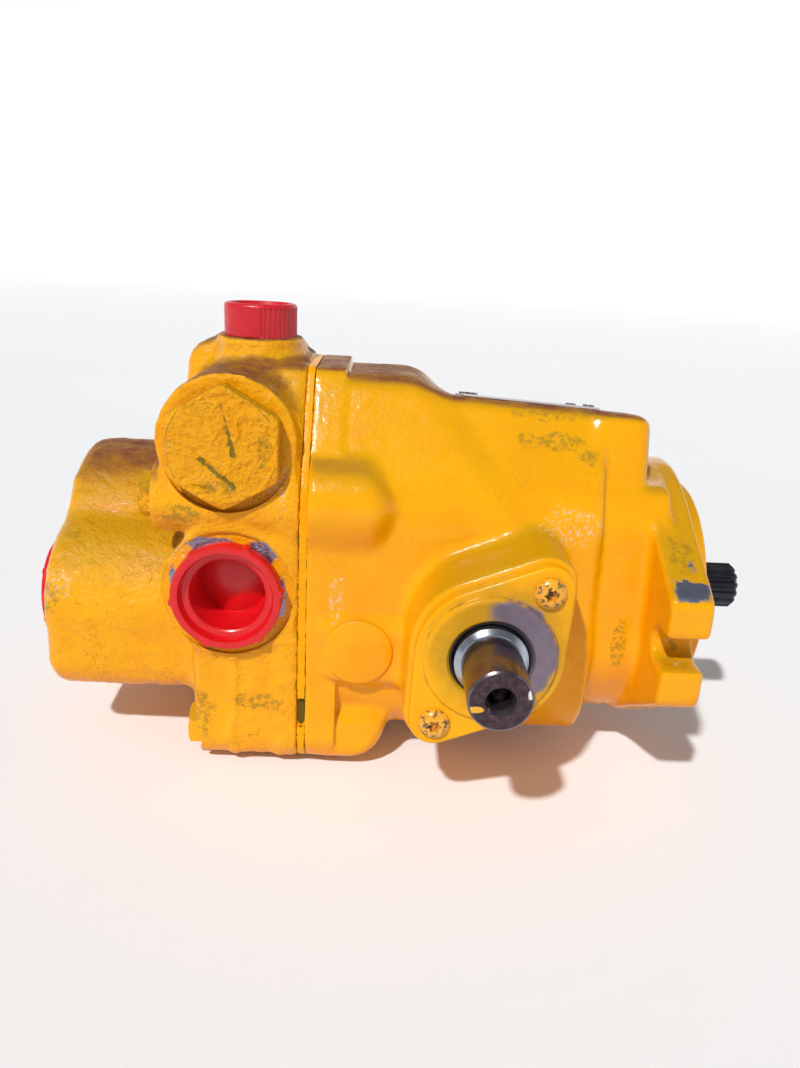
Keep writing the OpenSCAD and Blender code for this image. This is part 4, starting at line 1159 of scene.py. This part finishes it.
near_plug, far_plug = (port_plug((PORT[0], -SIDE_Y, PORT[1]), "-y") for _ in range(2))
far_plug.data.transform(Matrix.Scale(-1, 4, (0, 1, 0)))
face_out(far_plug)
end_plug = port_plug((-283, SUCTION[0], SUCTION[1]), "-x")
caps = soften(joined("shipping_plugs", [near_plug, far_plug, end_plug]), 38)
dress(caps, "port_plugs", "red_plastic", RED)


# Top cap: ribbed over part of its side, plain over the rest
def ribs(h, r, a):
    if r < 15.2 or not 111.5 < h < 123.5:
        return r
    signed = a if a < pi else a - 2 * pi
    if radians(-165) < signed < radians(-82):
        return r
    return r - 0.45 * (0.5 + 0.5 * cos(a * 44))


cap_profile = [(99, 0), (99, 12.4), (111.0, 12.4), (111.0, 16.0), (111.6, 16.1), (113, 16.1),
               (118, 16.1), (123, 16.1), (123.6, 16.1), (124.2, 15.9), (124.75, 15.4), (125.0, 14.7),
               (125.0, 13.6), (124.3, 13.1), (123.6, 12.6), (123.5, 0)]
top_cap = turned("thread_cap", cap_profile, (TOP_PORT_X, 0, 0), "z", 528, ribs, 30)
dress(top_cap, "top_cap", "red_plastic", RED_CAP)

disc_profile = [(-50, 0), (-50, 9.98), (-57.9, 9.98), (-57.9, 14.9), (-58.9, 14.95), (-59.2, 14.7),
                (-59.4, 14.2), (-59.4, 0)]
core = turned("core_disc", disc_profile, (-142, 0, -16), "y", 128)
dress(core, "core_plug", "yellow_paint", SMALL_PAINT)

# Cover bolts with chamfered hexagon heads
bolts = []
for y, z, seat in BOLTS:
    shank = [(-136, 0), (-136, 5.2), (-137, 5.98), (seat, 5.98), (seat, 0)]
    bolts.append(turned("bolt", shank, (0, y, z), "x", 48))
for y, z, seat in HEX_BOLTS:
    crown = [(seat - 6.5, 0), (seat - 6.5, 8.6), (seat - 5.6, 10.3), (seat, 10.35), (seat, 0)]
    head = turned("bolt", crown, (0, y, z), "x", 96)
    flats = prism_x(hexagon_points((y, z), 10.39, 30), seat - 8, seat + 1, 0)
    bolts.append(boolean(head, [flats], "INTERSECT"))
y, z, seat = SOCKET_BOLT
crown = [(seat - 12, 0), (seat - 12, 8.4), (seat - 11.4, 9), (seat, 9), (seat, 0)]
head = turned("bolt", crown, (0, y, z), "x", 96)
bolts.append(boolean(head, [prism_x(hexagon_points((y, z), 5.8, 0), seat - 13, seat - 6, 0)]))
bolts = soften(joined("cover_bolt_set", bolts), 30)
bolts.data.materials.clear()
dress(bolts, "cover_bolts", "yellow_paint", BOLT_PAINT)

# Input shaft: journal, seal land and the spline
land = [(-203, 0), (-203, 7), (-185.5, 7), (-185.5, 12.5), (-170.5, 12.5), (-170.5, 13), (-31, 13),
        (-31, 21), (-26, 21), (-26, 17.5), (-9.2, 17.5), (-9.2, 15), (7.2, 15), (8, 14.2), (8, 10.9),
        (8.6, 10.9), (39.6, 10.9), (41, 9.6), (41, 3.6), (40.4, 3), (28, 3), (27, 0)]


def teeth(h, r, a):
    if h < 8.5 or r < 9.5:
        return r
    wave = cos(13 * a)
    return r - 1.2 * min(1, max(0, 0.5 - 1.1 * wave))


bar = turned("splined_shaft", land, (0, 0, 0), "x", 416, teeth, 30)
dress(bar, "input_shaft", "dark_steel", SPLINE, body="rotating_group")

lip = [(-1.9, 24), (-1.9, 20.5), (1.5, 20.5), (1.5, 17.4), (-1.9, 17.4), (-1.9, 15.08), (3.2, 15.08),
       (3.8, 15.8), (3.4, 18.5), (3.8, 22), (3.8, 24)]
front_seal = plain_ring("front_lip_seal", lip, (0, 0, 0), "x")
dress(front_seal, "shaft_seal", "black_rubber", BLACK_RUBBER)

# ---- The CAD nodes that stay ----
KEPT = {
    "data_plate": PLATE, "seal_ring": SPLINE, "valve_plate": BRONZE, "charge_plate": BRONZE,
    "slipper_retainer": BRONZE, "trunnion_orings": BLACK_RUBBER,
}
for name, node in NODES.items():
    if node.hide_render:
        continue
    material = KEPT.get(name, BRONZE if name.startswith("slipper") else BRIGHT)
    node.data.materials.clear()
    node.data.materials.append(material)
    weld = node.modifiers.new("weld", "WELD")
    weld.merge_threshold = 0.00001
    bevel = node.modifiers.new("edges", "BEVEL")
    bevel.width = 0.00025
    bevel.segments = 2
    bevel.limit_method = "ANGLE"
    bevel.angle_limit = radians(40)

# ---- Camera, floor and lights ----
YAW, PITCH, ROLL = 0.027, 0.323, 0.052
FOCUS = 831.83
EYE = Vector((-135.22, -384.41, 147.97)) * MM
level = Vector((cos(YAW), -sin(YAW), 0))
ahead = cos(PITCH)
forward = Vector((sin(YAW) * ahead, cos(YAW) * ahead, -sin(PITCH)))
upward = level.cross(forward)
right = level * cos(ROLL) + upward * sin(ROLL)
up = upward * cos(ROLL) - level * sin(ROLL)
camera = linked("camera", bpy.data.cameras.new("camera"))
camera.data.sensor_fit = "VERTICAL"
camera.data.sensor_height = 36
camera.data.lens = 36 * FOCUS / 1068
camera.data.clip_start = 0.01
turn = Matrix((right, up, -forward)).transposed()
camera.matrix_world = Matrix.Translation(EYE) @ turn.to_4x4()
bpy.context.scene.camera = camera

# A round studio cove, so that every view has the same pale ground
COVE_R, COVE_TOP, COVE_BEND = 9000, 4200, 2500
floor_z = CAD_LOW[2] / MM - 4
bend = [radians(a) for a in range(0, 91, 6)]
profile = [(0, floor_z), (COVE_R - COVE_BEND, floor_z)]
profile += [(COVE_R - COVE_BEND * (1 - sin(a)), floor_z + COVE_BEND * (1 - cos(a)))
            for a in bend[1:]]
profile.append((COVE_R, COVE_TOP))
sides = 128
verts = [(0, 0, floor_z)] + rows([(z, r) for r, z in profile[1:]], sides)
faces = [(0, 1 + i, 1 + (i + 1) % sides) for i in range(sides)]
for k in range(len(profile) - 2):
    a, b = 1 + k * sides, 1 + (k + 1) * sides
    faces += [(a + i, b + i, b + (i + 1) % sides, a + (i + 1) % sides) for i in range(sides)]
cove = new_object("studio_cove", verts, faces, True)
pale = Finish("pale_floor", (0.92, 0.93, 0.95), 0.9)
pale.finish(pale.mix(pale.noise(300, 2, 0.5), (0.91, 0.92, 0.94), (0.94, 0.95, 0.97)))
cove.data.materials.append(pale.material)
cove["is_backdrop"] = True


def sun(name, towards, strength, angle, color=(1, 1, 1)):
    """A distant soft light; towards points from the object to the light."""
    data = bpy.data.lights.new(name, "SUN")
    data.energy = strength
    data.angle = radians(angle)
    data.color = color
    linked(name, data).rotation_euler = Vector(towards).to_track_quat("Z", "Y").to_euler()


sun("key", (-0.30, -0.60, 0.74), 2.9, 2.5, (1, 0.98, 0.95))
sun("side", (0.75, -0.55, 0.35), 0.15, 25)
world = bpy.data.worlds.new("studio")
bpy.context.scene.world = world
world.use_nodes = True
sky = world.node_tree.nodes["Background"]
sky.inputs["Color"].default_value = (0.9, 0.94, 1, 1)
sky.inputs["Strength"].default_value = 0.2
bpy.context.scene.view_settings.view_transform = "Standard"

low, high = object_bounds()
